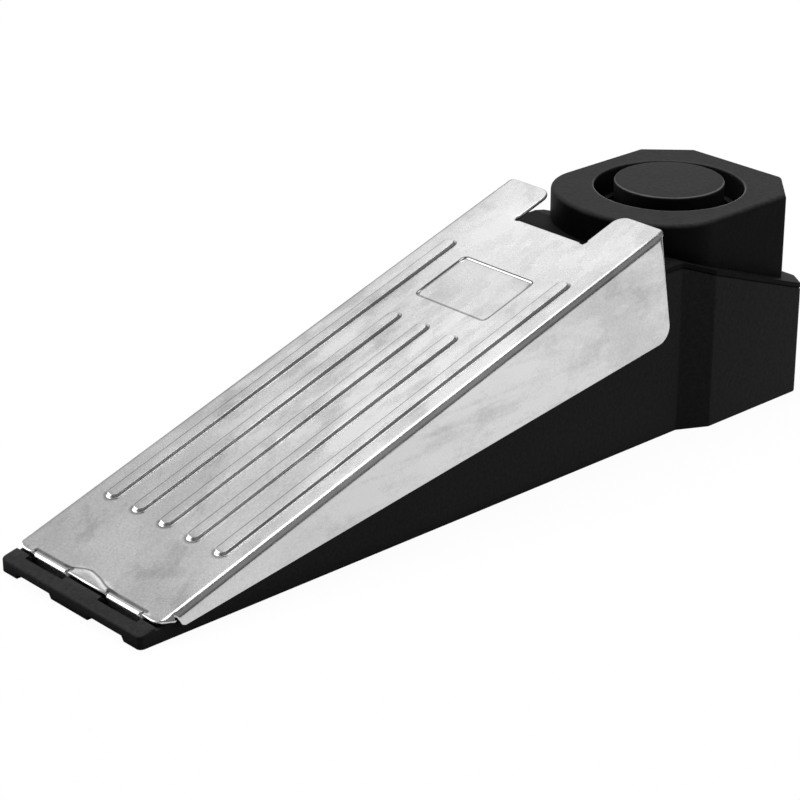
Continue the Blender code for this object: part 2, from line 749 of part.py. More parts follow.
def latch_window():
    """The hole in that upright for the latch's nose."""
    front = opening_range()[0]
    span = (front - 2 * LATCH_THICKNESS - OVERRUN / 2, front + OVERRUN / 2)
    heights = (FLOOR + SEAT_GAP, FLOOR + SEAT_GAP + 2 * LATCH_NOSE)
    return block(span, centred(0, LATCH_WIDTH + 2 * SEAT_GAP), heights)


def channels():
    """Two shallow channels under the tip and the wedge, with sloping sides."""
    shapes = []
    for side in (-1, 1):
        inner = CHANNEL_INNER
        outer = CHANNEL_INNER + CHANNEL_WIDTH
        section = [
            (inner - CHANNEL_SIDE * 2, -CHANNEL_DEPTH),
            (outer + CHANNEL_SIDE * 2, -CHANNEL_DEPTH),
            (outer, CHANNEL_DEPTH),
            (inner, CHANNEL_DEPTH),
        ]
        bm = prism([(side * y, z) for y, z in section], -OVERRUN, CHANNEL_LENGTH)
        for vert in bm.verts:
            vert.co = Vector((vert.co.z, vert.co.x, vert.co.y))
        outward(bm)
        shapes.append(bm)
    return shapes


def hook_range(side, margin=0.0):
    """Values of Y between which one hook of the plate lies."""
    middle = side * (HOOK_INNER + HOOK_WIDTH / 2)
    return centred(middle, HOOK_WIDTH + 2 * margin)


def hook_slots():
    """Slots through the tip for the plate's hooks, longer towards the front so that the plate can be slid in."""
    front = PLATE_FRONT + HOOK_SETBACK
    span = (front - SLOT_AHEAD, front + SHEET + 2 * SEAT_GAP)
    return [block(span, hook_range(side, SEAT_GAP), (-OVERRUN, TIP_TOP_HEIGHT + OVERRUN)) for side in (-1, 1)]


def hook_pockets():
    """Deeper pockets under the tip, where the hooks' feet lie."""
    front = PLATE_FRONT + HOOK_SETBACK
    span = (front - SLOT_AHEAD, front + HOOK_POCKET_LENGTH)
    return [block(span, hook_range(side, SEAT_GAP), (-OVERRUN, HOOK_POCKET_DEPTH)) for side in (-1, 1)]


def switch_recess():
    """The finger recess in the rear wall."""
    span = (LENGTH - FINGER_DEPTH, LENGTH + OVERRUN)
    return block(span, centred(0, FINGER_WIDTH), centred(SWITCH_HEIGHT, FINGER_TALL))


def switch_slot():
    """The slot in that recess that the knob slides in."""
    span = (LENGTH - WALL - SINK, LENGTH - FINGER_DEPTH + SINK)
    width = KNOB_WIDTH + SWITCH_TRAVEL + 2 * SEAT_GAP
    return block(span, centred(0, width), centred(SWITCH_HEIGHT, KNOB_TALL + 2 * SEAT_GAP))


def switch_rails():
    """Two ribs on the rear wall that hold the switch's can above and below."""
    inner = LENGTH - WALL
    span = (inner - SWITCH_DEPTH, inner + SINK)
    shapes = []
    for side in (-1, 1):
        edge = SWITCH_HEIGHT + side * (SWITCH_TALL / 2 + SEAT_GAP)
        heights = sorted((edge, edge + side * RAIL_THICKNESS))
        shapes.append(block(span, centred(0, SWITCH_WIDTH), heights))
    return shapes


def rear_pad_pocket():
    """The shallow pocket for the grip pad under the rear block."""
    rear = LENGTH - REAR_PAD_FROM_END
    return block((rear - REAR_PAD_LENGTH, rear), centred(0, REAR_PAD_WIDTH), (-OVERRUN, REAR_PAD_DEPTH))


def upper_housing(parent, plastic):
    """The cover: deck, shelf, ledge and the hollow siren head with its well."""
    breaks = (SHELF_FRONT, RIDGE_STATION)
    rim = draped(case_outline(0, COVER_FRONT), lambda x: cover_top(x) - FLANGE, cover_top, breaks)
    cover = place("upper_housing", rim, parent, plastic)
    inner_front = TIP_SOLID_LENGTH + SEAT_GAP
    inner = draped(case_outline(WALL + SEAT_GAP, inner_front), lambda x: cover_top(x) - COVER_THICKNESS,
                   lambda x: cover_top(x) - FLANGE / 2, breaks)
    add(cover, inner)
    add(cover, draped(head_outline(), lambda x: cover_top(x) - FLANGE / 3, lambda x: HEAD_HEIGHT, breaks[1:]))
    cut(cover, draped(head_outline(HEAD_WALL), lambda x: cover_top(x) - COVER_THICKNESS - OVERRUN,
                      lambda x: HEAD_HEIGHT - HEAD_ROOF, breaks[1:]))
    well = (WELL_STATION, 0)
    add(cover, drum(WELL_RADIUS + WELL_WALL, WELL_BOTTOM, HEAD_HEIGHT - HEAD_ROOF / 2, well, ROUND_SEGMENTS))
    add(cover, *cover_bosses())
    cut(cover, turned([
        (0, WELL_BOTTOM - OVERRUN / 3),
        (WELL_RADIUS - WELL_LIP, WELL_BOTTOM - OVERRUN / 3),
        (WELL_RADIUS - WELL_LIP, WELL_BOTTOM + WELL_LIP_THICKNESS),
        (WELL_RADIUS, WELL_BOTTOM + WELL_LIP_THICKNESS),
        (WELL_RADIUS, HEAD_HEIGHT + OVERRUN),
        (0, HEAD_HEIGHT + OVERRUN),
    ], well, ROUND_SEGMENTS), *cover_bores(), tongue_slot())


def cover_bosses():
    """Screw bosses, the trigger's guide and the spring's cup, all hanging from the cover."""
    shapes = []
    for station, offset in screw_spots():
        if station > RIDGE_STATION:
            top = HEAD_HEIGHT - HEAD_ROOF / 2
        else:
            top = deck(station - COVER_BOSS_RADIUS) - FLANGE
        shapes.append(drum(COVER_BOSS_RADIUS, BOSS_TOP + SEAT_GAP, top, (station, offset)))
    guide = TRIGGER_RADIUS + SEAT_GAP + GUIDE_WALL
    top = deck(TRIGGER_STATION - guide) - FLANGE
    shapes.append(drum(guide, guide_bottom(), top, (TRIGGER_STATION, 0)))
    cup = spring_bore() + SPRING_POCKET_WALL
    top = deck(SPRING_STATION - cup) - FLANGE
    shapes.append(drum(cup, SPRING_POCKET_FLOOR - SPRING_POCKET_WALL, top, (SPRING_STATION, 0)))
    return shapes


def guide_bottom():
    """Height of the trigger guide's lower end, which stops the trigger's collar."""
    return TRIGGER_TIP_HEIGHT + TRIGGER_TIP_LENGTH + TRIGGER_COLLAR_HEIGHT + SEAT_GAP


def spring_bore():
    """Radius of the pocket that the return spring stands in."""
    return SPRING_RADIUS + SPRING_WIRE + SEAT_GAP


def cover_bores():
    """Pilot holes, the trigger's bore and the spring's pocket."""
    shapes = []
    pilot = SCREW_SHANK_RADIUS + SEAT_GAP
    for spot in screw_spots():
        shapes.append(drum(pilot, BOSS_TOP - OVERRUN / 2, BOSS_TOP + PILOT_DEPTH, spot, TINY_SEGMENTS))
    top = plate_top(SPRING_STATION)
    shapes.append(drum(TRIGGER_RADIUS + SEAT_GAP, guide_bottom() - OVERRUN / 2, top, (TRIGGER_STATION, 0)))
    shapes.append(drum(spring_bore(), SPRING_POCKET_FLOOR, top, (SPRING_STATION, 0)))
    return shapes


def tongue_front():
    """Station of the front face of the plate's rear tongue."""
    return NOTCH_FRONT - TONGUE_SETBACK


def tongue_slot():
    """The slot in the shelf that the plate's tongue drops into, with room for its swing."""
    front = tongue_front()
    swing = (SHELF_HEIGHT - HINGE_HEIGHT) * PRESS_SLOPE
    span = (front - TONGUE_SLOT_AHEAD, front + SHEET + swing + SEAT_GAP)
    heights = (SHELF_HEIGHT - COVER_THICKNESS - OVERRUN / 2, SHELF_HEIGHT + OVERRUN / 2)
    return block(span, centred(0, TONGUE_WIDTH + 2 * SEAT_GAP), heights)


def plate_section():
    """Cross-section of the folded sheet, as a channel with rounded bends, in Y and distance off the slope."""
    deep = PLATE_REAR
    inner_radius = BEND_RADIUS - SHEET
    outer = [(HALF_PLATE, -deep)]
    inner = [(HALF_PLATE - SHEET, -deep)]
    for step in range(CORNER_STEPS + 1):
        turn = math.pi / 2 * step / CORNER_STEPS
        centre = (HALF_PLATE - BEND_RADIUS, -BEND_RADIUS)
        outer.append((centre[0] + BEND_RADIUS * math.cos(turn), centre[1] + BEND_RADIUS * math.sin(turn)))
        inner.append((centre[0] + inner_radius * math.cos(turn), centre[1] + inner_radius * math.sin(turn)))
    half = outer + [(-y, w) for y, w in reversed(outer)]
    return half + [(-y, w) for y, w in inner] + [(y, w) for y, w in reversed(inner)]


def flap_edge():
    """The side view of what is cut away round one flap: in front of it, below it and behind it."""
    under = BEND_RADIUS - SHEET
    far_front = PLATE_FRONT - OVERRUN
    rear_top = plate_top(PLATE_REAR)
    rear_shift = math.tan(FLAP_REAR_LEAN)
    rear_x = PLATE_REAR - FLAP_REAR_SETBACK
    lower_x = FLAP_FRONT + FLAP_LEAD_IN
    slope = math.tan(FLAP_LOWER_SLOPE)
    base = FLAP_FRONT_EDGE_HEIGHT - slope * lower_x
    corner_x = (rear_x + rear_shift * (rear_top - base)) / (1 + rear_shift * slope)
    corner = (corner_x, base + slope * corner_x)
    edge = [
        (lower_x, FLAP_FRONT_EDGE_HEIGHT),
        corner,
        (rear_x - rear_shift * OVERRUN, rear_top + OVERRUN),
    ]
    softened = rounded([(lower_x, rear_top), *edge], FLAP_CORNER_RADIUS)
    span = CORNER_STEPS + 1
    arc = softened[2 * span:3 * span]
    start = [
        (far_front, plate_underside(far_front) - under / 2),
        (FLAP_FRONT, plate_underside(FLAP_FRONT) - under / 2),
        (lower_x, FLAP_FRONT_EDGE_HEIGHT),
    ]
    far_rear = 2 * PLATE_REAR
    low = -far_rear
    return start + arc + [edge[2], (far_rear, rear_top + OVERRUN), (far_rear, low), (far_front, low)]


def corner_arc(centre, radius, first, last):
    """Points of an arc between two angles in degrees."""
    points = []
    for step in range(CORNER_STEPS + 1):
        turn = math.radians(first + (last - first) * step / CORNER_STEPS)
        points.append((centre[0] + radius * math.cos(turn), centre[1] + radius * math.sin(turn)))
    return points


def front_trim():
    """What is cut away in front of the plate's front edge, with rounded corners."""
    front = along(PLATE_FRONT)
    side = HALF_PLATE + OVERRUN
    radius = FRONT_CORNER_RADIUS
    centre = (front + radius, HALF_PLATE - radius)
    half = [(front - OVERRUN, side), (centre[0], side), *corner_arc(centre, radius, 90, 180)]
    return prism(mirrored(half), -OVERRUN, OVERRUN)


def rear_trim():
    """What is cut away behind the two ears, and the notch between them."""
    rear = along(PLATE_REAR)
    notch = along(NOTCH_FRONT)
    side = HALF_PLATE + OVERRUN
    outer = (rear - EAR_RADIUS, HALF_PLATE - EAR_RADIUS)
    inner = (rear - EAR_RADIUS, NOTCH_WIDTH / 2 + EAR_RADIUS)
    half = [
        (rear + OVERRUN, side),
        (outer[0], side),
        *corner_arc(outer, EAR_RADIUS, 90, 0),
        *corner_arc(inner, EAR_RADIUS, 0, -90),
        (notch, NOTCH_WIDTH / 2),
    ]
    return prism(mirrored(half), -2 * BEND_RADIUS, OVERRUN)


def stadium(front, rear, middle, width):
    """A strip with round ends."""
    radius = width / 2
    rear_end = corner_arc((rear - radius, middle), radius, -90, 90)
    front_end = corner_arc((front + radius, middle), radius, 90, 270)
    return rear_end + front_end


def ribs():
    """The stamped ribs, of which the two outer ones are the longest."""
    shapes = []
    slack = (RIB_WIDTH - RIB_TOP_WIDTH) / 2
    for index in range(RIB_COUNT):
        middle = (index - (RIB_COUNT - 1) / 2) * RIB_PITCH
        outermost = index in (0, RIB_COUNT - 1)
        rear = along(RIB_LONG_REAR if outermost else RIB_SHORT_REAR)
        front = along(RIB_FRONT)
        lower = stadium(front, rear, middle, RIB_WIDTH)
        upper = stadium(front + slack, rear - slack, middle, RIB_TOP_WIDTH)
        shapes.append(on_plate(tapered(lower, upper, (-SHEET / 2, 0, RIB_HEIGHT))))
    return shapes


def label_field():
    """The bare field for a label, pressed into the plate's upper face."""
    front = along(LABEL_FRONT)
    rear = along(LABEL_REAR)
    half = LABEL_WIDTH / 2
    rim = rounded([(front, -half), (rear, -half), (rear, half), (front, half)], LABEL_BORDER)
    inset = half - LABEL_BORDER
    corners = [(front + LABEL_BORDER, -inset), (rear - LABEL_BORDER, -inset),
               (rear - LABEL_BORDER, inset), (front + LABEL_BORDER, inset)]
    floor = rounded(corners, LABEL_BORDER / 2)
    return on_plate(tapered(rim, floor, (OVERRUN, 0, -LABEL_DEPTH)))


def hooks():
    """The two hooks bent down from the front edge, with their feet turned to the rear."""
    front = PLATE_FRONT + HOOK_SETBACK
    top = plate_underside(front) + SHEET_DROP / 2
    profile = [
        (front, HOOK_BOTTOM),
        (front + SHEET + HOOK_FOOT, HOOK_BOTTOM),
        (front + SHEET + HOOK_FOOT, HOOK_BOTTOM + SHEET),
        (front + SHEET, HOOK_BOTTOM + SHEET),
        (front + SHEET, top + PLATE_SLOPE * SHEET),
        (front, top),
    ]
    return [side_prism(profile, *hook_range(side)) for side in (-1, 1)]


def tongue():
    """The tongue bent down from the notch, whose foot catches under the shelf."""
    front = tongue_front()
    catch = SHELF_HEIGHT - COVER_THICKNESS - SEAT_GAP
    rear = front + SHEET
    profile = [
        (front, catch - SHEET),
        (rear + TONGUE_FOOT, catch - SHEET),
        (rear + TONGUE_FOOT, catch),
        (rear, catch),
        (rear, plate_underside(rear) + SHEET_DROP / 2),
        (front, plate_underside(front) + SHEET_DROP / 2),
    ]
    return side_prism(profile, -TONGUE_WIDTH / 2, TONGUE_WIDTH / 2)


def pressure_plate(parent, steel):
    """The folded steel plate, with its origin on the line that it rocks about."""
    section = prism(plate_section(), along(PLATE_FRONT) - OVERRUN / 2, along(PLATE_REAR) + OVERRUN / 2)
    for vert in section.verts:
        vert.co = Vector((vert.co.z, vert.co.x, vert.co.y))
    outward(section)
    origin = (HINGE_STATION, 0, HINGE_HEIGHT)
    plate = place("pressure_plate", on_plate(section), parent, steel, origin)
    inner = HALF_PLATE - SHEET - SEAT_GAP / 2
    outer = HALF_PLATE + OVERRUN
    flap = flap_edge()
    cut(plate, side_prism(flap, inner, outer), side_prism(flap, -outer, -inner))
    cut(plate, on_plate(front_trim()), on_plate(rear_trim()))
    add(plate, *ribs())
    add(plate, *hooks(), tongue())
    cut(plate, label_field())


def siren_cap(parent, plastic):
    """The disc in the well: a cup on a spider whose ring rests on the well's lip."""
    top = HEAD_HEIGHT + CAP_RISE
    skirt = top - CAP_SKIRT
    ring_bottom = WELL_BOTTOM + WELL_LIP_THICKNESS + SEAT_GAP
    ring_top = ring_bottom + SPIDER_HEIGHT
    well = (WELL_STATION, 0)
    inner = CAP_RADIUS - CAP_WALL
    edge = CAP_ROOF / 4
    cup = turned([
        (0, top - CAP_ROOF), (inner, top - CAP_ROOF), (inner, ring_bottom), (CAP_RADIUS, ring_bottom),
        (CAP_RADIUS, skirt), (CAP_RADIUS, top - edge), (CAP_RADIUS - edge, top), (0, top),
    ], well, ROUND_SEGMENTS)
    cap = place("siren_cap", cup, parent, plastic)
    outer = WELL_RADIUS - SEAT_GAP
    ring = turned([
        (outer - SPIDER_RING, ring_bottom), (outer, ring_bottom), (outer, ring_top), (outer - SPIDER_RING, ring_top),
    ], well, ROUND_SEGMENTS)
    spokes = []
    for index in range(SPOKE_COUNT):
        turn = 2 * math.pi * (index + 1 / 2) / SPOKE_COUNT
        arm = block((inner + CAP_WALL / 2, outer - SPIDER_RING / 2), centred(0, SPOKE_WIDTH),
                    (ring_bottom + SINK, ring_top - SINK))
        bmesh.ops.transform(arm, matrix=Matrix.Rotation(turn, 4, "Z"), verts=arm.verts)
        bmesh.ops.translate(arm, verts=arm.verts, vec=(WELL_STATION, 0, 0))
        spokes.append(arm)
    add(cap, ring)
    add(cap, *spokes)


def sounder(parent, plastic, brass, ceramic):
    """The chamber under the well, with the brass plate and the ceramic disc that drives it."""
    well = (WELL_STATION, 0)
    inner = CHAMBER_RADIUS - CHAMBER_WALL
    seat = CHAMBER_BOTTOM + CHAMBER_STEP
    place("sound_chamber", turned([
        (inner, CHAMBER_BOTTOM), (CHAMBER_RADIUS, CHAMBER_BOTTOM), (CHAMBER_RADIUS, CHAMBER_TOP),
        (CHAMBER_HOLE, CHAMBER_TOP), (CHAMBER_HOLE, CHAMBER_TOP - CHAMBER_ROOF),
        (inner - CHAMBER_WALL, CHAMBER_TOP - CHAMBER_ROOF), (inner - CHAMBER_WALL, seat), (inner, seat),
    ], well, ROUND_SEGMENTS), parent, plastic)
    plate_high = seat - HAIR_GAP
    plate_low = plate_high - PIEZO_THICKNESS
    place("piezo_plate", drum(inner - SEAT_GAP, plate_low, plate_high, well, ROUND_SEGMENTS), parent, brass)
    disc_high = plate_low - HAIR_GAP
    place("piezo_ceramic", drum(CERAMIC_RADIUS, disc_high - CERAMIC_THICKNESS, disc_high, well, ROUND_SEGMENTS),
          parent, ceramic)


def battery(parent, wrap, metal, dark):
    """The 9 V block, its two terminals and the snap connector on them."""
    body = rounded([
        (-BATTERY_WIDTH / 2, -BATTERY_HEIGHT / 2), (BATTERY_WIDTH / 2, -BATTERY_HEIGHT / 2),
        (BATTERY_WIDTH / 2, BATTERY_HEIGHT / 2), (-BATTERY_WIDTH / 2, BATTERY_HEIGHT / 2),
    ], BATTERY_EDGE)
    bm = prism([(y, z) for y, z in body], BATTERY_FRONT, BATTERY_REAR)
    for vert in bm.verts:
        vert.co = Vector((vert.co.z, vert.co.x, vert.co.y + BATTERY_MIDDLE))
    outward(bm)
    place("battery", bm, parent, wrap)
    foot = BATTERY_REAR + HAIR_GAP
    end = TERMINAL_LENGTH - 2 * HAIR_GAP
    positive = turned([(0, 0), (POSITIVE_RADIUS, 0), (POSITIVE_RADIUS, end), (0, end)], (0, 0))
    negative = turned([
        (0, 0), (NEGATIVE_RADIUS, 0), (NEGATIVE_RADIUS, end), (NEGATIVE_BORE, end),
        (NEGATIVE_BORE, end - NEGATIVE_BORE_DEPTH), (0, end - NEGATIVE_BORE_DEPTH),
    ], (0, 0), SMALL_SEGMENTS // 4)
    place("battery_terminal_positive", along_x(positive, (foot, -TERMINAL_OFFSET, BATTERY_MIDDLE)), parent, metal)
    place("battery_terminal_negative", along_x(negative, (foot, TERMINAL_OFFSET, BATTERY_MIDDLE)), parent, metal)
    face = BATTERY_REAR + TERMINAL_LENGTH + HAIR_GAP
    half_w, half_h = CONNECTOR_WIDTH / 2, CONNECTOR_HEIGHT / 2
    outline = rounded([(-half_w, -half_h), (half_w, -half_h), (half_w, half_h), (-half_w, half_h)], CONNECTOR_EDGE)
    cap = prism(outline, face, face + CONNECTOR_THICKNESS)
    for vert in cap.verts:
        vert.co = Vector((vert.co.z, vert.co.x, vert.co.y + BATTERY_MIDDLE))
    outward(cap)
    place("snap_connector", cap, parent, dark)


def battery_door(parent, plastic):
    """The door under the battery, with hinge tabs at its rear end and a snap latch at its front end."""
    front, rear = door_range()
    origin = (rear, 0, DOOR_HINGE_HEIGHT)
    panel = block((front, rear), centred(0, DOOR_WIDTH), (0, DOOR_THICKNESS))
    door = place("battery_door", panel, parent, plastic, origin)
    tab_low = DOOR_TAB_SKIN + SEAT_GAP
    shapes = []
    for side in (-1, 1):
        span = (rear - DOOR_TAB_LENGTH, rear + DOOR_TAB_LENGTH)
        heights = (tab_low, tab_low + DOOR_TAB_THICKNESS)
        shapes.append(block(span, centred(side * DOOR_TAB_OFFSET, DOOR_TAB_WIDTH), heights))
    nose_low = FLOOR + 2 * SEAT_GAP
    latch = [
        (front, DOOR_THICKNESS / 2),
        (front + LATCH_THICKNESS, DOOR_THICKNESS / 2),
        (front + LATCH_THICKNESS, LATCH_HEIGHT + LATCH_NOSE),
        (front, LATCH_HEIGHT + LATCH_NOSE),
        (front - LATCH_NOSE, nose_low + SINK),
        (front - LATCH_NOSE, nose_low),
        (front, nose_low),
    ]
    shapes.append(side_prism(latch, -LATCH_WIDTH / 2, LATCH_WIDTH / 2))
    add(door, *shapes)
    grooves = []
    for index in range(GRIP_COUNT):
        station = front + 2 * GRIP_PITCH + index * GRIP_PITCH
        grooves.append(block(centred(station, GRIP_LENGTH), centred(0, GRIP_WIDTH), (-OVERRUN, GRIP_DEPTH)))
    cut(door, *grooves)


def screw(name, spot, seat, sizes, parent, metal):
    """A pan head screw pointing up, with a cross recess in its head, seated at a height."""
    head_radius, head_height, shank_radius, length = sizes
    edge = head_height / 4
    low = seat - head_height
    tip = shank_radius / 2
    bm = turned([
        (0, low), (head_radius - edge, low), (head_radius, low + edge), (head_radius, seat), (shank_radius, seat),
        (shank_radius, seat + length - tip), (tip, seat + length), (0, seat + length),
    ], spot)
    return place(name, bm, parent, metal)


def case_screws(parent, metal):
    """The four screws that hold the case together, put in from below."""
    sizes = (SCREW_HEAD_RADIUS, SCREW_HEAD_HEIGHT, SCREW_SHANK_RADIUS, SCREW_LENGTH)
    seat = SCREW_RECESS - SEAT_GAP
    for index, spot in enumerate(screw_spots()):
        made = screw(f"case_screw_{index + 1}", spot, seat, sizes, parent, metal)
        low = seat - SCREW_HEAD_HEIGHT
        heights = (low - CROSS_DEPTH, low + CROSS_DEPTH)
        slots = []
        for turn in (0, math.pi / 2):
            bar = block(centred(0, CROSS_LENGTH), centred(0, CROSS_WIDTH), heights)
            bmesh.ops.transform(bar, matrix=Matrix.Rotation(turn, 4, "Z"), verts=bar.verts)
            bmesh.ops.translate(bar, verts=bar.verts, vec=(*spot, 0))
            slots.append(bar)
        cut(made, *slots)


def board_screws(parent, metal):
    """The two screws that hold the circuit board, put in from above."""
    for index, spot in enumerate(board_screw_spots()):
        seat = BOARD_TOP + SEAT_GAP
        edge = BOARD_SCREW_HEAD_HEIGHT / 4
        top = seat + BOARD_SCREW_HEAD_HEIGHT
        bm = turned([
            (0, seat - BOARD_SCREW_LENGTH), (BOARD_SCREW_SHANK_RADIUS, seat - BOARD_SCREW_LENGTH),
            (BOARD_SCREW_SHANK_RADIUS, seat), (BOARD_SCREW_HEAD_RADIUS, seat),
            (BOARD_SCREW_HEAD_RADIUS, top - edge), (BOARD_SCREW_HEAD_RADIUS - edge, top), (0, top),
        ], spot, TINY_SEGMENTS)
        place(f"board_screw_{index + 1}", bm, parent, metal)


def circuit_board(parent, laminate):
    """The board on its bosses."""
    outline = rounded([
        (BOARD_FRONT, -BOARD_WIDTH / 2), (BOARD_REAR, -BOARD_WIDTH / 2),
        (BOARD_REAR, BOARD_WIDTH / 2), (BOARD_FRONT, BOARD_WIDTH / 2),
    ], CORNER_RADIUS)
    board = place("circuit_board", prism(outline, BOARD_BOTTOM, BOARD_TOP), parent, laminate)
    bore = BOARD_SCREW_SHANK_RADIUS + SEAT_GAP
    heights = (BOARD_BOTTOM - OVERRUN / 3, BOARD_TOP + OVERRUN / 3)
    cut(board, *[drum(bore, *heights, spot, TINY_SEGMENTS) for spot in board_screw_spots()])


def board_parts(parent, finishes):
    """What is soldered to the board."""
    floor = BOARD_TOP + PART_GAP
    chip_front = BOARD_FRONT + BOARD_LENGTH * CHIP_SHARE
    low = floor + CHIP_STAND_OFF
    body = block((chip_front, chip_front + CHIP_LENGTH), centred(CHIP_OFFSET, CHIP_WIDTH), (low, low + CHIP_HEIGHT))
    chip = place("driver_chip", body, parent, finishes["black"])
    pins = []
    for index in range(PIN_COUNT):
        station = chip_front + CHIP_LENGTH / 2 + (index - (PIN_COUNT - 1) / 2) * PIN_PITCH
        for side in (-1, 1):
            edge = CHIP_OFFSET + side * (CHIP_WIDTH / 2)
            span = sorted((edge - side * SINK, edge + side * PIN_REACH))
            pins.append(block(centred(station, PIN_WIDTH), span, (floor, low + CHIP_HEIGHT / 2)))
    add(chip, *pins)
    spot = (BOARD_FRONT + BOARD_LENGTH * COIL_SHARE, COIL_OFFSET)
    top = floor + COIL_HEIGHT
    place("boost_coil", turned([
        (0, floor), (COIL_RADIUS, floor), (COIL_RADIUS, floor + COIL_FLANGE), (COIL_WAIST, floor + COIL_FLANGE),
        (COIL_WAIST, top - COIL_FLANGE), (COIL_RADIUS, top - COIL_FLANGE), (COIL_RADIUS, top), (0, top),
    ], spot), parent, finishes["ferrite"])
    spot = (BOARD_FRONT + BOARD_LENGTH * CAPACITOR_SHARE, CAPACITOR_OFFSET)
    top = floor + CAPACITOR_HEIGHT
    waist = CAPACITOR_RADIUS - CAPACITOR_GROOVE
    place("capacitor", turned([
        (0, floor), (CAPACITOR_RADIUS, floor), (CAPACITOR_RADIUS, floor + CAPACITOR_GROOVE * 2),
        (waist, floor + CAPACITOR_GROOVE * 3), (CAPACITOR_RADIUS, floor + CAPACITOR_GROOVE * 4),
        (CAPACITOR_RADIUS, top - CAPACITOR_GROOVE), (waist, top), (0, top),
    ], spot), parent, finishes["can"])
    transistor(parent, floor, finishes["black"])
    for index in range(2):
        resistor(f"resistor_{index + 1}", index, parent, floor, finishes["tan"])


def transistor(parent, floor, finish):
    """A small three-legged transistor with one flat side."""
    spot = (BOARD_FRONT + BOARD_LENGTH * TRANSISTOR_SHARE, TRANSISTOR_OFFSET)
    low = floor + TRANSISTOR_LEG
    outline = corner_arc(spot, TRANSISTOR_RADIUS, -45, 225)
    body = place("transistor", prism(outline, low, low + TRANSISTOR_HEIGHT), parent, finish)
    legs = []
    for index in (-1, 0, 1):
        station = spot[0] + index * TRANSISTOR_PITCH
        legs.append(block(centred(station, LEG_WIDTH), centred(spot[1], LEG_WIDTH), (floor, low + SINK)))
    add(body, *legs)


def resistor(name, index, parent, floor, finish):
    """An axial resistor lying across the board on its two bent legs."""
    station = BOARD_FRONT + RESISTOR_FROM_FRONT + index * RESISTOR_PITCH
    height = floor + RESISTOR_RADIUS
    bm = turned([
        (0, -RESISTOR_LENGTH / 2), (RESISTOR_RADIUS, -RESISTOR_LENGTH / 2),
        (RESISTOR_RADIUS, RESISTOR_LENGTH / 2), (0, RESISTOR_LENGTH / 2),
    ], (0, 0), TINY_SEGMENTS)
    bmesh.ops.transform(bm, matrix=Matrix.Rotation(math.pi / 2, 4, "X"), verts=bm.verts)
    bmesh.ops.translate(bm, verts=bm.verts, vec=(station, RESISTOR_OFFSET, height))
    body = place(name, bm, parent, finish)
    half = RESISTOR_LEG_SPAN / 2
    for side in (-1, 1):
        near = RESISTOR_OFFSET + side * (RESISTOR_LENGTH / 2 - SINK)
        far = RESISTOR_OFFSET + side * half
        profile = [
            (near, height - LEG_WIDTH / 2), (far - side * LEG_WIDTH, height - LEG_WIDTH / 2),
            (far - side * LEG_WIDTH, floor), (far, floor), (far, height + LEG_WIDTH / 2), (near, height + LEG_WIDTH / 2),
        ]
        leg = prism([(y, z) for y, z in profile], *centred(station, LEG_WIDTH))
        for vert in leg.verts:
            vert.co = Vector((vert.co.z, vert.co.x, vert.co.y))
        outward(leg)
        add(body, leg)


def trigger(parent, plastic, brass):
    """The pin under the plate, the contact blade that it bends and the stud that the blade meets."""
    spot = (TRIGGER_STATION, 0)
    collar_top = guide_bottom() - SEAT_GAP
    collar_bottom = collar_top - TRIGGER_COLLAR_HEIGHT
    tip = TRIGGER_TIP_HEIGHT
    crown = plate_underside(TRIGGER_STATION) - SEAT_GAP
    shoulder = plate_underside(TRIGGER_STATION - TRIGGER_RADIUS) - SEAT_GAP
    crown_radius = TRIGGER_RADIUS / 3
    place("trigger_plunger", turned([
        (0, tip), (TRIGGER_TIP_RADIUS / 4, tip), (TRIGGER_TIP_RADIUS, tip + TRIGGER_TIP_RADIUS / 2),
        (TRIGGER_TIP_RADIUS, collar_bottom), (TRIGGER_COLLAR_RADIUS, collar_bottom),
        (TRIGGER_COLLAR_RADIUS, collar_top), (TRIGGER_RADIUS, collar_top),
        (TRIGGER_RADIUS, shoulder - crown_radius), (crown_radius, crown - crown_radius),
        (0, crown - crown_radius / 2),
    ], spot), parent, plastic, (TRIGGER_STATION, 0, tip))
    blade_root(parent, brass)
    root = blade_hinge()
    top_x, top_z = TRIGGER_STATION + TRIGGER_TIP_RADIUS, tip - SEAT_GAP
    rise = math.atan2(top_z - root[1], TRIGGER_STATION - root[0])
    along_blade = Vector((math.cos(rise), math.sin(rise)))
    across = Vector((-math.sin(rise), math.cos(rise))) * BLADE_THICKNESS
    start = Vector(root) + along_blade * SEAT_GAP - across
    end = Vector(root) + along_blade * ((top_x - root[0]) / math.cos(rise)) - across
    profile = [tuple(start), tuple(end), tuple(end + across), tuple(start + across)]
    place("contact_leaf", side_prism(profile, -BLADE_WIDTH / 2, BLADE_WIDTH / 2), parent, brass, (root[0], 0, root[1]))
    stud_top = tip - SEAT_GAP - BLADE_THICKNESS / math.cos(rise) - TRIGGER_TRAVEL - STUD_MARGIN
    floor = BOARD_TOP + PART_GAP
    place("contact_stud", drum(STUD_RADIUS, floor, max(stud_top, floor + HAIR_GAP), spot, TINY_SEGMENTS), parent, brass)


def blade_hinge():
    """Station and height of the line that the contact blade bends about."""
    return (TRIGGER_STATION - BLADE_LENGTH, BOARD_TOP + PART_GAP + BLADE_ROOT_HEIGHT)


def blade_root(parent, brass):
    """The bracket on the board that the blade is clamped in."""
    station, height = blade_hinge()
    floor = BOARD_TOP + PART_GAP
    span = (station - BRACKET_LENGTH, station)
    bm = block(span, centred(0, BLADE_WIDTH), (floor, height))
    place("contact_bracket", bm, parent, brass)


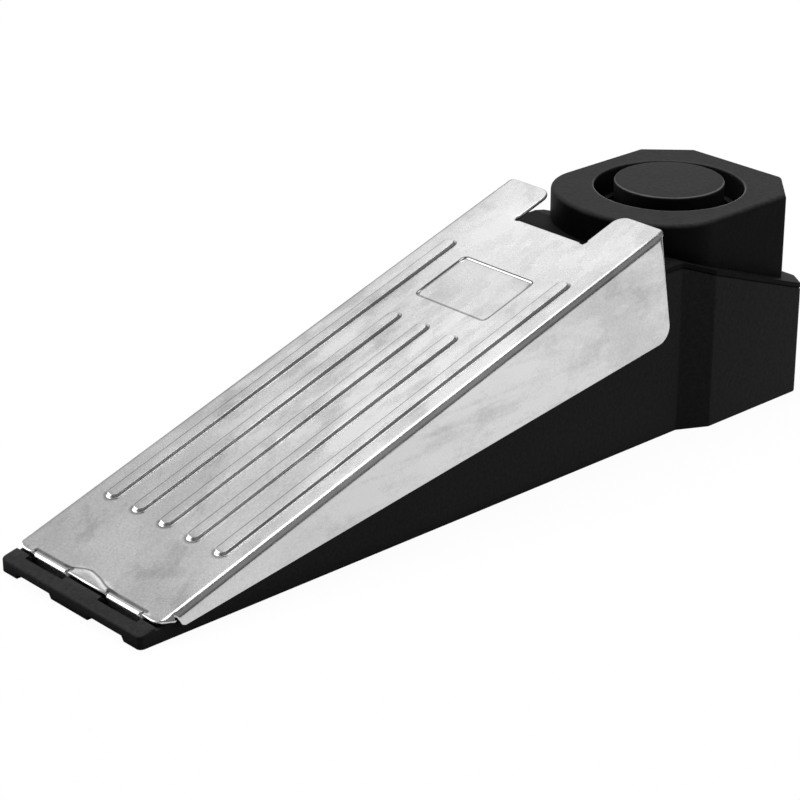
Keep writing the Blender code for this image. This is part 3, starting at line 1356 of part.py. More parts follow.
def smooth_route(points, per_span):
    """Points on a smooth curve through a route's own points."""
    padded = [points[0], *points, points[-1]]
    route = []
    for index in range(len(points) - 1):
        before, start, end, after = [Vector(p) for p in padded[index:index + 4]]
        for step in range(per_span):
            t = step / per_span
            bend = (2 * before - 5 * start + 4 * end - after) * t * t
            twist = (3 * start - before - 3 * end + after) * t * t * t
            route.append((2 * start + (end - before) * t + bend + twist) / 2)
    route.append(Vector(points[-1]))
    return route


def tube(name, points, radius, parent, finish, resolution=1):
    """A round wire along points, as a curve with closed ends."""
    data = bpy.data.curves.new(name, "CURVE")
    data.dimensions = "3D"
    data.bevel_depth = radius
    data.bevel_resolution = resolution
    data.use_fill_caps = True
    spline = data.splines.new("POLY")
    spline.points.add(len(points) - 1)
    for target, point in zip(spline.points, points):
        target.co = (*point, 1)
    data.materials.append(finish)
    obj = bpy.data.objects.new(name, data)
    obj.parent = parent
    bpy.context.scene.collection.objects.link(obj)
    return obj


def return_spring(parent, steel):
    """The coil spring between its pocket in the deck and the plate."""
    low = SPRING_POCKET_FLOOR + SEAT_GAP + SPRING_WIRE
    reach = SPRING_RADIUS + SPRING_WIRE
    high = plate_underside(SPRING_STATION - reach) - SEAT_GAP - SPRING_WIRE
    count = SPRING_TURNS * SPRING_POINTS_PER_TURN
    points = []
    for index in range(count + 1):
        turn = 2 * math.pi * index / SPRING_POINTS_PER_TURN
        height = low + (high - low) * index / count
        x = SPRING_STATION + SPRING_RADIUS * math.cos(turn)
        points.append((x, SPRING_RADIUS * math.sin(turn), height))
    tube("return_spring", points, SPRING_WIRE, parent, steel)


def lead_starts(wall):
    """The rear part of each pair of leads, from what it feeds to the side wall, for positive Y."""
    connector_rear = BATTERY_REAR + TERMINAL_LENGTH + HAIR_GAP + CONNECTOR_THICKNESS + SEAT_GAP
    exit_y = CONNECTOR_WIDTH / 2 - LEAD_BEND
    bend = connector_rear + LEAD_BEND
    switch_front = LENGTH - WALL - SWITCH_DEPTH - 2 * SEAT_GAP
    under = CHAMBER_BOTTOM - LEAD_RADIUS - 2 * SEAT_GAP
    disc = CHAMBER_BOTTOM + CHAMBER_STEP - 2 * HAIR_GAP - PIEZO_THICKNESS - CERAMIC_THICKNESS - SEAT_GAP
    solder = CERAMIC_RADIUS / 2
    return {
        "battery": [
            (connector_rear, exit_y, LEAD_MIDDLE),
            (bend, exit_y + LEAD_BEND / 4, LEAD_MIDDLE),
            (bend, wall - LEAD_BEND / 4, LEAD_MIDDLE),
        ],
        "piezo": [
            (WELL_STATION, solder, disc),
            (WELL_STATION, solder + LEAD_BEND / 4, under + LEAD_BEND / 4),
            (WELL_STATION, solder + LEAD_BEND, under),
            (WELL_STATION, wall - LEAD_BEND, under - LEAD_BEND / 4),
            (WELL_STATION, wall + LEAD_BEND / 2, LEAD_HIGH + 2 * LEAD_BEND),
            (WELL_STATION - LEAD_BEND, wall + LEAD_BEND / 2, LEAD_HIGH + LEAD_BEND / 2),
        ],
        "switch": [
            (switch_front, SWITCH_WIDTH / 4, SWITCH_HEIGHT),
            (switch_front - LEAD_BEND, SWITCH_WIDTH / 4, SWITCH_HEIGHT),
            (bend + LEAD_STEP, SWITCH_WIDTH / 2, LEAD_LOW),
            (bend + LEAD_BEND, wall, LEAD_LOW),
        ],
    }


def leads(parent, finishes):
    """The six thin leads, which run along the case's walls beside the battery to the board."""
    wall = HALF_WEDGE - WALL - LEAD_GAP - LEAD_RADIUS
    floor = BOARD_TOP + PART_GAP
    land_y = BOARD_WIDTH / 2 - LEAD_BEND
    names = {
        "switch": ("switch_lead_1", "switch_lead_2"),
        "battery": ("battery_lead_red", "battery_lead_black"),
        "piezo": ("piezo_lead_1", "piezo_lead_2"),
    }
    heights = {"switch": LEAD_LOW, "battery": LEAD_MIDDLE, "piezo": LEAD_HIGH}
    starts = lead_starts(wall)
    for order, kind in enumerate(names):
        land = BOARD_REAR - LEAD_BEND - order * LEAD_STEP
        height = heights[kind]
        run = [
            (BATTERY_REAR - LEAD_DROP, wall, height),
            ((BATTERY_REAR + BATTERY_FRONT) / 2, wall, height),
            (BATTERY_FRONT, wall, height),
            (MID_BOSS_STATION - BOSS_RADIUS, wall, height - LEAD_BEND / 2 * order),
            (land + LEAD_BEND / 2, land_y + LEAD_BEND / 2, floor + LEAD_BEND),
            (land, land_y, floor + LEAD_BEND / 2),
            (land, land_y, floor),
        ]
        for name, side in zip(names[kind], (-1, 1)):
            route = [(x, side * y, z) for x, y, z in starts[kind] + run]
            tube(name, smooth_route(route, LEAD_POINTS_PER_SPAN), LEAD_RADIUS, parent, finishes[name])


def power_switch(parent, metal, plastic):
    """The slide switch behind the rear wall; its knob stands in the finger recess."""
    rear = LENGTH - WALL - SEAT_GAP
    front = rear - SWITCH_DEPTH
    can = place("power_switch_body", block((front, rear), centred(0, SWITCH_WIDTH),
                                            centred(SWITCH_HEIGHT, SWITCH_TALL)), parent, metal)
    slot_width = KNOB_WIDTH + SWITCH_TRAVEL + 2 * SEAT_GAP
    cut(can, block((rear - KNOB_FOOT - SEAT_GAP, rear + OVERRUN / 3), centred(0, slot_width),
                   centred(SWITCH_HEIGHT, KNOB_TALL + 2 * SEAT_GAP)))
    middle = -SWITCH_TRAVEL / 2
    inner = rear - KNOB_FOOT
    outer = LENGTH - KNOB_STAND_IN
    place("power_switch_knob", block((inner, outer), centred(middle, KNOB_WIDTH), centred(SWITCH_HEIGHT, KNOB_TALL)),
          parent, plastic, (outer, middle, SWITCH_HEIGHT))


def grip_pads(parent, rubber):
    """Rubber strips in the channels and a pad under the rear block, level with the case's feet."""
    for index, side in enumerate((-1, 1)):
        middle = side * (CHANNEL_INNER + CHANNEL_WIDTH / 2)
        width = CHANNEL_WIDTH - 2 * SEAT_GAP
        strip = block((STRIP_FRONT, STRIP_FRONT + STRIP_LENGTH), centred(middle, width), (0, CHANNEL_DEPTH - SEAT_GAP))
        place(f"grip_strip_{index + 1}", strip, parent, rubber)
    rear = LENGTH - REAR_PAD_FROM_END - SEAT_GAP
    front = rear - REAR_PAD_LENGTH + 2 * SEAT_GAP
    pad = block((front, rear), centred(0, REAR_PAD_WIDTH - 2 * SEAT_GAP), (0, REAR_PAD_DEPTH - SEAT_GAP))
    place("rear_grip_pad", pad, parent, rubber)


def main():
    """Builds the whole alarm."""
    clear_scene()
    alarm = bpy.data.objects.new("door_stop_alarm", None)
    alarm.location = (-LENGTH / 2, 0, 0)
    bpy.context.scene.collection.objects.link(alarm)
    black = material("black_plastic", (0.012, 0.012, 0.013), 0.5)
    steel = material("stainless_steel", (0.62, 0.62, 0.63), 0.32, 1.0)
    rubber = material("black_rubber", (0.02, 0.02, 0.02), 0.8)
    brass = material("brass", (0.72, 0.53, 0.24), 0.3, 1.0)
    ceramic = material("ceramic", (0.85, 0.83, 0.76), 0.5)
    nickel = material("nickel", (0.66, 0.65, 0.62), 0.28, 1.0)
    wrap = material("battery_wrap", (0.03, 0.05, 0.11), 0.35)
    laminate = material("laminate", (0.35, 0.24, 0.08), 0.5)
    finishes = {
        "black": material("moulded_black", (0.01, 0.01, 0.01), 0.4),
        "ferrite": material("ferrite", (0.05, 0.05, 0.055), 0.6),
        "can": material("capacitor_sleeve", (0.02, 0.03, 0.08), 0.35),
        "tan": material("resistor_tan", (0.55, 0.4, 0.22), 0.5),
        "battery_lead_red": material("red_lead", (0.5, 0.01, 0.01), 0.45),
        "battery_lead_black": material("black_lead", (0.012, 0.012, 0.012), 0.45),
        "piezo_lead_1": material("yellow_lead", (0.6, 0.42, 0.02), 0.45),
        "piezo_lead_2": material("yellow_lead_2", (0.6, 0.42, 0.02), 0.45),
        "switch_lead_1": material("white_lead", (0.7, 0.7, 0.68), 0.45),
        "switch_lead_2": material("white_lead_2", (0.7, 0.7, 0.68), 0.45),
    }
    lower_case(alarm, black)
    upper_housing(alarm, black.copy())
    pressure_plate(alarm, steel)
    siren_cap(alarm, black.copy())
    sounder(alarm, black.copy(), brass, ceramic)
    battery(alarm, wrap, nickel, finishes["black"].copy())
    battery_door(alarm, black.copy())
    case_screws(alarm, nickel.copy())
    board_screws(alarm, nickel.copy())
    circuit_board(alarm, laminate)
    board_parts(alarm, finishes)
    trigger(alarm, black.copy(), brass.copy())
    return_spring(alarm, steel.copy())
    leads(alarm, finishes)
    power_switch(alarm, nickel.copy(), black.copy())
    grip_pads(alarm, rubber)


main()
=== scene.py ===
"""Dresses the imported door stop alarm: its stamped steel plate, moulded case and siren head, and the parts inside.

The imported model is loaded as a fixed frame, and every piece made here is fitted to it. Lengths are in metres. Shapes
are made with stations, which are distances from the wedge's tip, and moved to the frame's origin at the end.
"""

import logging
import math
from collections.abc import Callable, Sequence
from dataclasses import dataclass
from enum import Enum

import bmesh
import bpy
import numpy as np
from mathutils import Matrix, Vector
from mathutils.geometry import delaunay_2d_cdt


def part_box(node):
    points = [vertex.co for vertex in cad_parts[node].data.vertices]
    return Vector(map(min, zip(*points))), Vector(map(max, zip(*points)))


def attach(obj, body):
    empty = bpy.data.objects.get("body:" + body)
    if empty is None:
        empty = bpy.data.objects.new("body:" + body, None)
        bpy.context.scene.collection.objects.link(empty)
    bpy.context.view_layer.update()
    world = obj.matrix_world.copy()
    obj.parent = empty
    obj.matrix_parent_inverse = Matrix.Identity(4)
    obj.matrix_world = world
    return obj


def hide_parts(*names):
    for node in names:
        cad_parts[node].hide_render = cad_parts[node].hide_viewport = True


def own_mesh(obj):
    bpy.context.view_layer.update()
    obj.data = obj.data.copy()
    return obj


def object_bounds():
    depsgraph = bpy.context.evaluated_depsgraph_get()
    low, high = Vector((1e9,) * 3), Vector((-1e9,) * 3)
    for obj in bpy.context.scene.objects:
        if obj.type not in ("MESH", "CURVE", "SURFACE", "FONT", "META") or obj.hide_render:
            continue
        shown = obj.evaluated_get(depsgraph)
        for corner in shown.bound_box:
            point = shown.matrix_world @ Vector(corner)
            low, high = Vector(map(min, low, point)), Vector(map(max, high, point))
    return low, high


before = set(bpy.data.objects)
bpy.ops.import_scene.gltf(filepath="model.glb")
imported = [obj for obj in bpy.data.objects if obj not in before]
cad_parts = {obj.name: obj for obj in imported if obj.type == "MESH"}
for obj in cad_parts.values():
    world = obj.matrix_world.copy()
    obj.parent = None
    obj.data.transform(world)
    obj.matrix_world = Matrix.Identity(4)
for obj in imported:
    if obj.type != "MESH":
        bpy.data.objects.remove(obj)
CAD_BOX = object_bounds()
LOG = logging.getLogger("door_stop_alarm")

MM = 0.001
LEAST_MITRE = 0.5
NICKEL = (0.62, 0.61, 0.58)
BRASS = (0.66, 0.48, 0.20)
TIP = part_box("lower_case")[0].x
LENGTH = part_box("lower_case")[1].x - TIP

Shape = bmesh.types.BMesh
Socket = bpy.types.NodeSocket
Finish = bpy.types.Material
Point = tuple[float, float]
Triple = tuple[float, float, float]
Colour = tuple[float, float, float]
Operand = "Signal | float"
Sizes = Callable[[str], "Signal | float"]


# Expressions on node sockets

class Signal:
    """A socket's value, used in Python expressions that add the matching Math nodes."""

    def __init__(self, bench: "Bench", socket: Socket) -> None:
        """Wraps a socket of a bench's tree."""
        self.bench = bench
        self.socket = socket

    def __add__(self, other: Operand) -> "Signal":
        """The sum."""
        return self.bench.math("ADD", self, other)

    __radd__ = __add__

    def __sub__(self, other: Operand) -> "Signal":
        """The difference."""
        return self.bench.math("SUBTRACT", self, other)

    def __rsub__(self, other: Operand) -> "Signal":
        """The difference, with this one taken away."""
        return self.bench.math("SUBTRACT", other, self)

    def __mul__(self, other: Operand) -> "Signal":
        """The product."""
        return self.bench.math("MULTIPLY", self, other)

    __rmul__ = __mul__

    def __truediv__(self, other: Operand) -> "Signal":
        """The quotient."""
        return self.bench.math("DIVIDE", self, other)

    def __neg__(self) -> "Signal":
        """The opposite."""
        return self.bench.math("MULTIPLY", self, -1.0)

    def __abs__(self) -> "Signal":
        """The size without its sign."""
        return self.bench.math("ABSOLUTE", self)

    def __gt__(self, other: Operand) -> "Signal":
        """1 where this is the larger, otherwise 0."""
        return self.bench.math("GREATER_THAN", self, other)

    def at_least(self, other: Operand) -> "Signal":
        """The larger of the two."""
        return self.bench.math("MAXIMUM", self, other)

    def at_most(self, other: Operand) -> "Signal":
        """The smaller of the two."""
        return self.bench.math("MINIMUM", self, other)

    def apply(self, operation: str) -> "Signal":
        """The result of a Math operation on this value alone."""
        return self.bench.math(operation, self)

    def eased(self, low: Operand, high: Operand) -> "Signal":
        """0 below low, 1 above high, and a smooth step between.

        Args:
            low: the value where the step starts.
            high: the value where the step ends.

        Returns:
            The eased value.
        """
        node = self.bench.node("ShaderNodeMapRange", {"interpolation_type": "SMOOTHSTEP"},
                               {"Value": self, "From Min": low, "From Max": high})
        return Signal(self.bench, node.outputs["Result"])


def hypotenuse(first: Signal, second: Signal) -> Signal:
    """The root of the sum of two squares."""
    return (first * first + second * second).apply("SQRT")


def past_outline(over: Signal, beside: Signal, corner: Operand) -> Signal:
    """Distance from a rounded rectangle, from how far over and beside the centre of its nearest corner a point is."""
    out = hypotenuse(over.at_least(0.0), beside.at_least(0.0))
    return out + over.at_least(beside).at_most(0.0) - corner


class Bench:
    """A node tree on which nodes are made and joined."""

    def __init__(self, tree: bpy.types.NodeTree) -> None:
        """Works on a tree."""
        self.tree = tree

    def node(self, kind: str, settings: dict | None = None, inputs: dict | None = None) -> bpy.types.Node:
        """Adds one node.

        Args:
            kind: the node's type.
            settings: its properties, set first.
            inputs: values, signals or sockets for its inputs, by name or number.

        Returns:
            The node.
        """
        made = self.tree.nodes.new(kind)
        for name, value in (settings or {}).items():
            setattr(made, name, value)
        for name, value in (inputs or {}).items():
            self.feed(made.inputs[name], value)
        return made

    def feed(self, socket: Socket, value: object) -> None:
        """Links a signal or socket to an input, or sets its value.

        Args:
            socket: the input.
            value: the signal, socket, number or colour.
        """
        if isinstance(value, Signal):
            self.tree.links.new(value.socket, socket)
        elif isinstance(value, Socket):
            self.tree.links.new(value, socket)
        elif isinstance(value, tuple) and len(value) == 3 and socket.type == "RGBA":
            socket.default_value = (*value, 1.0)
        else:
            socket.default_value = value

    def math(self, operation: str, *operands: Operand) -> Signal:
        """The result of one Math node."""
        made = self.node("ShaderNodeMath", {"operation": operation}, dict(enumerate(operands)))
        return Signal(self, made.outputs[0])

    def split(self, vector: Socket) -> tuple[Signal, Signal, Signal]:
        """The three parts of a vector."""
        made = self.node("ShaderNodeSeparateXYZ", inputs={0: vector})
        return tuple(Signal(self, socket) for socket in made.outputs)

    def dot(self, vector: Socket, other: Triple) -> Signal:
        """The dot product of a vector and a constant one."""
        made = self.node("ShaderNodeVectorMath", {"operation": "DOT_PRODUCT"}, {0: vector, 1: other})
        return Signal(self, made.outputs["Value"])

    def joined(self, x: Operand, y: Operand, z: Operand) -> Socket:
        """A vector of three parts."""
        return self.node("ShaderNodeCombineXYZ", inputs={0: x, 1: y, 2: z}).outputs[0]

    def rays(self, *kinds: str) -> list[Signal]:
        """For each kind of ray, a signal that is 1 for rays of that kind."""
        path = self.node("ShaderNodeLightPath")
        return [Signal(self, path.outputs[f"Is {kind} Ray"]) for kind in kinds]


class Surface(Bench):
    """The node tree of one material, with its Principled shader and the object's own coordinates."""

    def __init__(self, name: str, colour: Colour, roughness: float, metallic: float = 0.0,
                 shine: float = 0.5) -> None:
        """Starts a material.

        Args:
            name: its name.
            colour: its plain colour.
            roughness: its plain roughness.
            metallic: 1 for bare metal, otherwise 0.
            shine: its specular level.
        """
        self.material = bpy.data.materials.new(name)
        self.material.use_nodes = True
        super().__init__(self.material.node_tree)
        self.shader = self.tree.nodes["Principled BSDF"]
        self.feed(self.shader.inputs["Base Color"], colour)
        self.shader.inputs["Roughness"].default_value = roughness
        self.shader.inputs["Metallic"].default_value = metallic
        self.shader.inputs["Specular IOR Level"].default_value = shine
        self.material.diffuse_color = (*colour, 1.0)
        self.place = self.node("ShaderNodeTexCoord").outputs["Object"]

    def laid(self, scale: Triple, turn: float = 0.0) -> Socket:
        """The object's coordinates, stretched and turned about the upright axis.

        Args:
            scale: how many times smaller the pattern is along each axis.
            turn: the turn in radians.

        Returns:
            The coordinates.
        """
        made = self.node("ShaderNodeMapping", {"vector_type": "TEXTURE"}, {
            "Vector": self.place, "Rotation": (0, 0, turn), "Scale": tuple(1 / value for value in scale),
        })
        return made.outputs[0]

    def cloud(self, size: float, detail: float, rough: float = 0.5, where: Socket | None = None) -> Signal:
        """Noise between 0 and 1.

        Args:
            size: the size of its blotches, in metres.
            detail: how many finer layers it has.
            rough: how strong these are.
            where: the coordinates, or none for the object's own.

        Returns:
            The noise.
        """
        made = self.node("ShaderNodeTexNoise", None, {
            "Vector": where or self.place, "Scale": 1 / size, "Detail": detail, "Roughness": rough,
        })
        return Signal(self, made.outputs["Fac"])

    def cells(self, size: float) -> Signal:
        """Distance to the nearest of many scattered points, 0 to about 1."""
        made = self.node("ShaderNodeTexVoronoi", None, {"Vector": self.place, "Scale": 1 / size})
        return Signal(self, made.outputs["Distance"])

    def blend(self, share: Operand, first: object, second: object) -> Socket:
        """A colour between two colours.

        Args:
            share: how much of the second colour it has.
            first: the first colour.
            second: the second colour.

        Returns:
            The colour.
        """
        made = self.node("ShaderNodeMix", {"data_type": "RGBA"}, {"Factor": share})
        colours = [socket for socket in made.inputs if socket.type == "RGBA"]
        self.feed(colours[0], first)
        self.feed(colours[1], second)
        return next(socket for socket in made.outputs if socket.type == "RGBA")

    def shade(self, colour: object, factor: Signal) -> Socket:
        """A colour made darker or lighter by a factor."""
        made = self.node("ShaderNodeVectorMath", {"operation": "SCALE"}, {0: colour, "Scale": factor})
        return made.outputs[0]

    def relief(self, height: Signal, depth: float) -> None:
        """Gives the surface a fine relief, where a height of 1 stands for the depth in metres."""
        made = self.node("ShaderNodeBump", None, {"Height": height, "Distance": depth, "Strength": 1.0})
        self.feed(self.shader.inputs["Normal"], made.outputs[0])

    def wear(self, **sockets: object) -> None:
        """Links signals or colours to the shader's own sockets, named with underscores for spaces."""
        for name, value in sockets.items():
            self.feed(self.shader.inputs[name.replace("_", " ").title()], value)


# Finishes

@dataclass(frozen=True)
class SatinSteel:
    """Rolled stainless sheet with cloudy patches, a fine grain and faint streaks from rubbing along its slope, and
    painted light: painted shade along its pressed shapes, painted highlights on its edges and rib ends, a painted dark
    reflection on its flaps and a painted reflection gradient across its middle.
    """

    name: str = "satin_stainless_steel"
    colour: Colour = (0.80, 0.80, 0.80)
    roughness: float = 0.24
    slant: float = 0.3
    patch_size: float = 13 * MM
    patch_gain: float = 0.19
    smear_size: float = 5 * MM
    smear_gain: float = 0.11
    smudge_size: float = 6.5 * MM
    smudge_loss: float = 0.15
    grain_size: float = 0.35 * MM
    grain_gain: float = 0.42
    streak_size: float = 1.2 * MM
    streak_gain: float = 0.08
    band_size: float = 2.6 * MM
    band_gain: float = 0.20
    # Painted reflection gradient: how much darker the middle of the plate gets per metre towards +Y.
    painted_reflection_gradient: float = 0.10 / (15 * MM)
    # How strongly the painted dark reflection darkens the flaps' top rear corners.
    painted_dark_reflection_strength: float = 0.36
    # How much the painted highlights on the edges and rib ends lighten the steel.
    painted_highlight_gain: float = 0.3
    brightest: float = 1.2
    waviness: float = 14 * MM
    depth: float = 0.02 * MM

    def make(self, painted_shading: Callable[[Surface], tuple[Signal, Signal]]) -> Finish:
        """Builds the material.

        Args:
            painted_shading: what gives the painted shade along a pressed sheet's shapes and the painted highlights on
                its edges, each from 0 to 1.

        Returns:
            The material.
        """
        look = Surface(self.name, self.colour, self.roughness, 1.0)
        smears = look.cloud(self.smear_size, 5, 0.62, look.laid((0.35, 1, 1))).eased(0.50, 0.57)
        patches = look.cloud(self.patch_size, 4, 0.55, look.laid((0.6, 1, 1), self.slant)).eased(0.32, 0.68)
        smudges = look.cloud(self.smudge_size, 4, 0.6, look.laid((0.6, 1, 1), 0.5)).eased(0.52, 0.66)
        grain = look.cloud(self.grain_size, 2, 0.7)
        streaks = look.cloud(self.streak_size, 3, 0.6, look.laid((0.05, 1, 1)))
        bands = look.cloud(self.band_size, 3, 0.55, look.laid((0.1, 1, 1))).eased(0.36, 0.64)

        x, y, z = look.split(look.place)
        # A painted dark reflection at the flaps' top rear corners.
        top_rear_corner = x.eased(22 * MM, 29 * MM) * z.eased(21 * MM, 28 * MM)
        dull = top_rear_corner * abs(y).eased(18.3 * MM, 18.9 * MM)
        smears = smears * x.eased(-60 * MM, -25 * MM)
        halfway = x.eased(-48 * MM, -20 * MM) * (1 - x.eased(-2 * MM, 12 * MM))
        middle = halfway * (1 - abs(y).eased(17.8 * MM, 18.4 * MM))

        tone = 0.91 + self.patch_gain * patches + self.smear_gain * smears - self.smudge_loss * smudges
        tone = tone + self.grain_gain * (grain - 0.5) + self.streak_gain * (streaks - 0.5)
        tone = tone - self.painted_dark_reflection_strength * dull * (0.5 + patches)
        # Across the middle of the plate: random bands, and a painted reflection gradient that darkens it towards +Y.
        tone = tone + middle * (self.band_gain * (bands - 0.5) - y * self.painted_reflection_gradient)
        # Painted shade along the pressed shapes darkens the steel, and painted highlights lighten its edges and rib
        # ends.
        painted_shade, painted_highlight = painted_shading(look)
        lit = (tone + self.painted_highlight_gain * painted_highlight).at_most(self.brightest)
        tone = lit * (1 - painted_shade * (0.7 + 0.6 * streaks).at_most(1.0))
        rough = self.roughness + 0.07 * smears - 0.05 * smudges + 0.06 * (grain - 0.5)
        look.wear(base_color=look.shade(self.colour, tone), roughness=rough)
        look.relief(grain * 0.5 + look.cloud(self.waviness, 2) * 1.6, self.depth)
        return look.material


@dataclass(frozen=True)
class MouldedPlastic:
    """Matt moulded plastic with a fine eroded texture and a slight bloom.

    Where it has a rim, which is a round edge's X, radius and height, that edge gets a painted highlight on its near
    side and the sides below it get painted shade.
    """

    name: str
    colour: Colour = (0.032, 0.032, 0.033)
    roughness: float = 0.55
    texture: float = 0.7 * MM
    depth: float = 0.06 * MM
    shine: float = 0.05
    rim: Triple | None = None
    bloom_size: float = 9 * MM
    # Colour of the painted rim highlight.
    rim_highlight_colour: Colour = (0.30, 0.30, 0.30)

    def make(self) -> Finish:
        """Builds the material.

        Returns:
            The material.
        """
        look = Surface(self.name, self.colour, self.roughness, 0.0, self.shine)
        bloom = look.cloud(self.bloom_size, 3, 0.5)
        pores = look.cloud(self.texture, 2, 0.65)
        tint = look.shade(self.colour, 0.80 + 0.36 * bloom + 1.0 * (pores - 0.5))
        if self.rim:
            middle, radius, height = self.rim
            x, y, z = look.split(look.place)
            aside = x - middle
            off = abs(hypotenuse(aside, y) - radius)
            # A painted highlight along the rim, strongest on its near side, towards -X and -Y.
            painted_rim_highlight = (1 - off.eased(0.09 * MM, 0.22 * MM)) * z.eased(height - 0.4 * MM, height - 0.1 * MM)
            painted_rim_highlight = painted_rim_highlight * (0.2 + 0.8 * ((-aside - y) / radius).eased(-0.5, 0.9))
            # Painted shade: everything below the rim's height is darkened to 0.3 of its colour, the top to 0.9.
            lit = z.eased(height - 0.8 * MM, height - 0.1 * MM)
            tint = look.blend(painted_rim_highlight * bloom, look.shade(tint, 0.3 + 0.6 * lit), self.rim_highlight_colour)
        look.wear(base_color=tint, roughness=self.roughness + 0.12 * (bloom - 0.5) + 0.10 * (pores - 0.5))
        look.relief(pores, self.depth)
        return look.material


@dataclass(frozen=True)
class Rubber:
    """Soft dark rubber with dusty patches."""

    name: str
    colour: Colour = (0.022, 0.022, 0.022)
    dust_colour: Colour = (0.07, 0.068, 0.064)
    dust_size: float = 2.2 * MM

    def make(self) -> Finish:
        """Builds the material.

        Returns:
            The material.
        """
        look = Surface(self.name, self.colour, 0.8, 0.0, 0.25)
        dust = look.cloud(self.dust_size, 4, 0.6).eased(0.5, 0.75)
        look.wear(base_color=look.blend(dust * 0.35, self.colour, self.dust_colour), roughness=0.74 + 0.14 * dust)
        look.relief(look.cloud(0.2 * MM, 3, 0.7), 0.02 * MM)
        return look.material


@dataclass(frozen=True)
class BrightMetal:
    """Plated or drawn metal with fine scratches and a slightly uneven shine."""

    name: str
    colour: Colour
    roughness: float = 0.28
    stretch: Triple = (1.0, 1.0, 1.0)
    haze_size: float = 1.6 * MM
    line_size: float = 0.18 * MM

    def make(self) -> Finish:
        """Builds the material.

        Returns:
            The material.
        """
        look = Surface(self.name, self.colour, self.roughness, 1.0)
        haze = look.cloud(self.haze_size, 4, 0.6)
        lines = look.cloud(self.line_size, 2, 0.6, look.laid(self.stretch))
        look.wear(base_color=look.shade(self.colour, 0.86 + 0.2 * haze + 0.08 * (lines - 0.5)),
                  roughness=self.roughness + 0.18 * (haze - 0.5) + 0.1 * (lines - 0.5))
        look.relief(lines, 0.004 * MM)
        return look.material


@dataclass(frozen=True)
class Sleeve:
    """Smooth coloured plastic, such as a wire's skin or a shrunk sleeve, with one band of a second colour."""

    name: str
    colour: Colour
    band_colour: Colour | None = None
    band_start: float = 0.0
    band_end: float = 0.0
    band_edge: float = 0.2 * MM
    roughness: float = 0.36
    haze_size: float = 2.4 * MM

    def make(self) -> Finish:
        """Builds the material.

        Returns:
            The material.
        """
        look = Surface(self.name, self.colour, self.roughness)
        haze = look.cloud(self.haze_size, 3, 0.55)
        tint: object = self.colour
        if self.band_colour:
            x = look.split(look.place)[0]
            inside = x.eased(self.band_start, self.band_start + self.band_edge)
            inside = inside * (1 - x.eased(self.band_end, self.band_end + self.band_edge))
            tint = look.blend(inside, self.colour, self.band_colour)
        look.wear(base_color=look.shade(tint, 0.88 + 0.24 * haze), roughness=self.roughness + 0.14 * (haze - 0.5))
        look.relief(haze, 0.02 * MM)
        return look.material


@dataclass(frozen=True)
class Laminate:
    """Pressed paper board with its fibres and a few dark copper runs under the lacquer."""

    name: str
    colour: Colour = (0.33, 0.21, 0.07)
    run_colour: Colour = (0.10, 0.13, 0.05)
    run_pitch: float = 2.54 * MM
    run_length: float = 5 * MM
    fibre_size: float = 0.5 * MM

    def make(self) -> Finish:
        """Builds the material.

        Returns:
            The material.
        """
        look = Surface(self.name, self.colour, 0.42)
        fibres = look.cloud(self.fibre_size, 4, 0.7, look.laid((0.3, 1, 1)))
        _, y, _ = look.split(look.place)
        lane = abs((y / self.run_pitch).apply("FRACT") - 0.5).eased(0.30, 0.36)
        gate = look.cloud(self.run_length, 0, 0.5, look.laid((0.3, 1, 1))).eased(0.5, 0.52)
        run = lane * gate
        look.wear(base_color=look.blend(run * 0.75, look.shade(self.colour, 0.8 + 0.4 * fibres), self.run_colour),
                  roughness=0.36 + 0.2 * (fibres - 0.5))
        look.relief(fibres * 0.4 + run, 0.03 * MM)
        return look.material


@dataclass(frozen=True)
class Grainy:
    """A dull sintered body, such as ferrite or a silvered ceramic, with fine specks."""

    name: str
    colour: Colour
    specks: Colour
    roughness: float = 0.6
    speck_size: float = 0.4 * MM
    haze_size: float = 1.8 * MM

    def make(self) -> Finish:
        """Builds the material.

        Returns:
            The material.
        """
        look = Surface(self.name, self.colour, self.roughness)
        specks = (1 - look.cells(self.speck_size)).eased(0.6, 0.8)
        haze = look.cloud(self.haze_size, 3, 0.6)
        look.wear(base_color=look.blend(specks * 0.4, look.shade(self.colour, 0.84 + 0.3 * haze), self.specks),
                  roughness=self.roughness + 0.16 * (haze - 0.5))
        look.relief(specks * 0.3 + haze, 0.02 * MM)
        return look.material


def linked(name: str, data: bpy.types.ID) -> bpy.types.Object:
    """An object of some data, linked to the scene.

    Args:
        name: its name.
        data: its mesh, light or camera.

    Returns:
        The object.
    """
    obj = bpy.data.objects.new(name, data)
    bpy.context.scene.collection.objects.link(obj)
    return obj


# Geometry trees

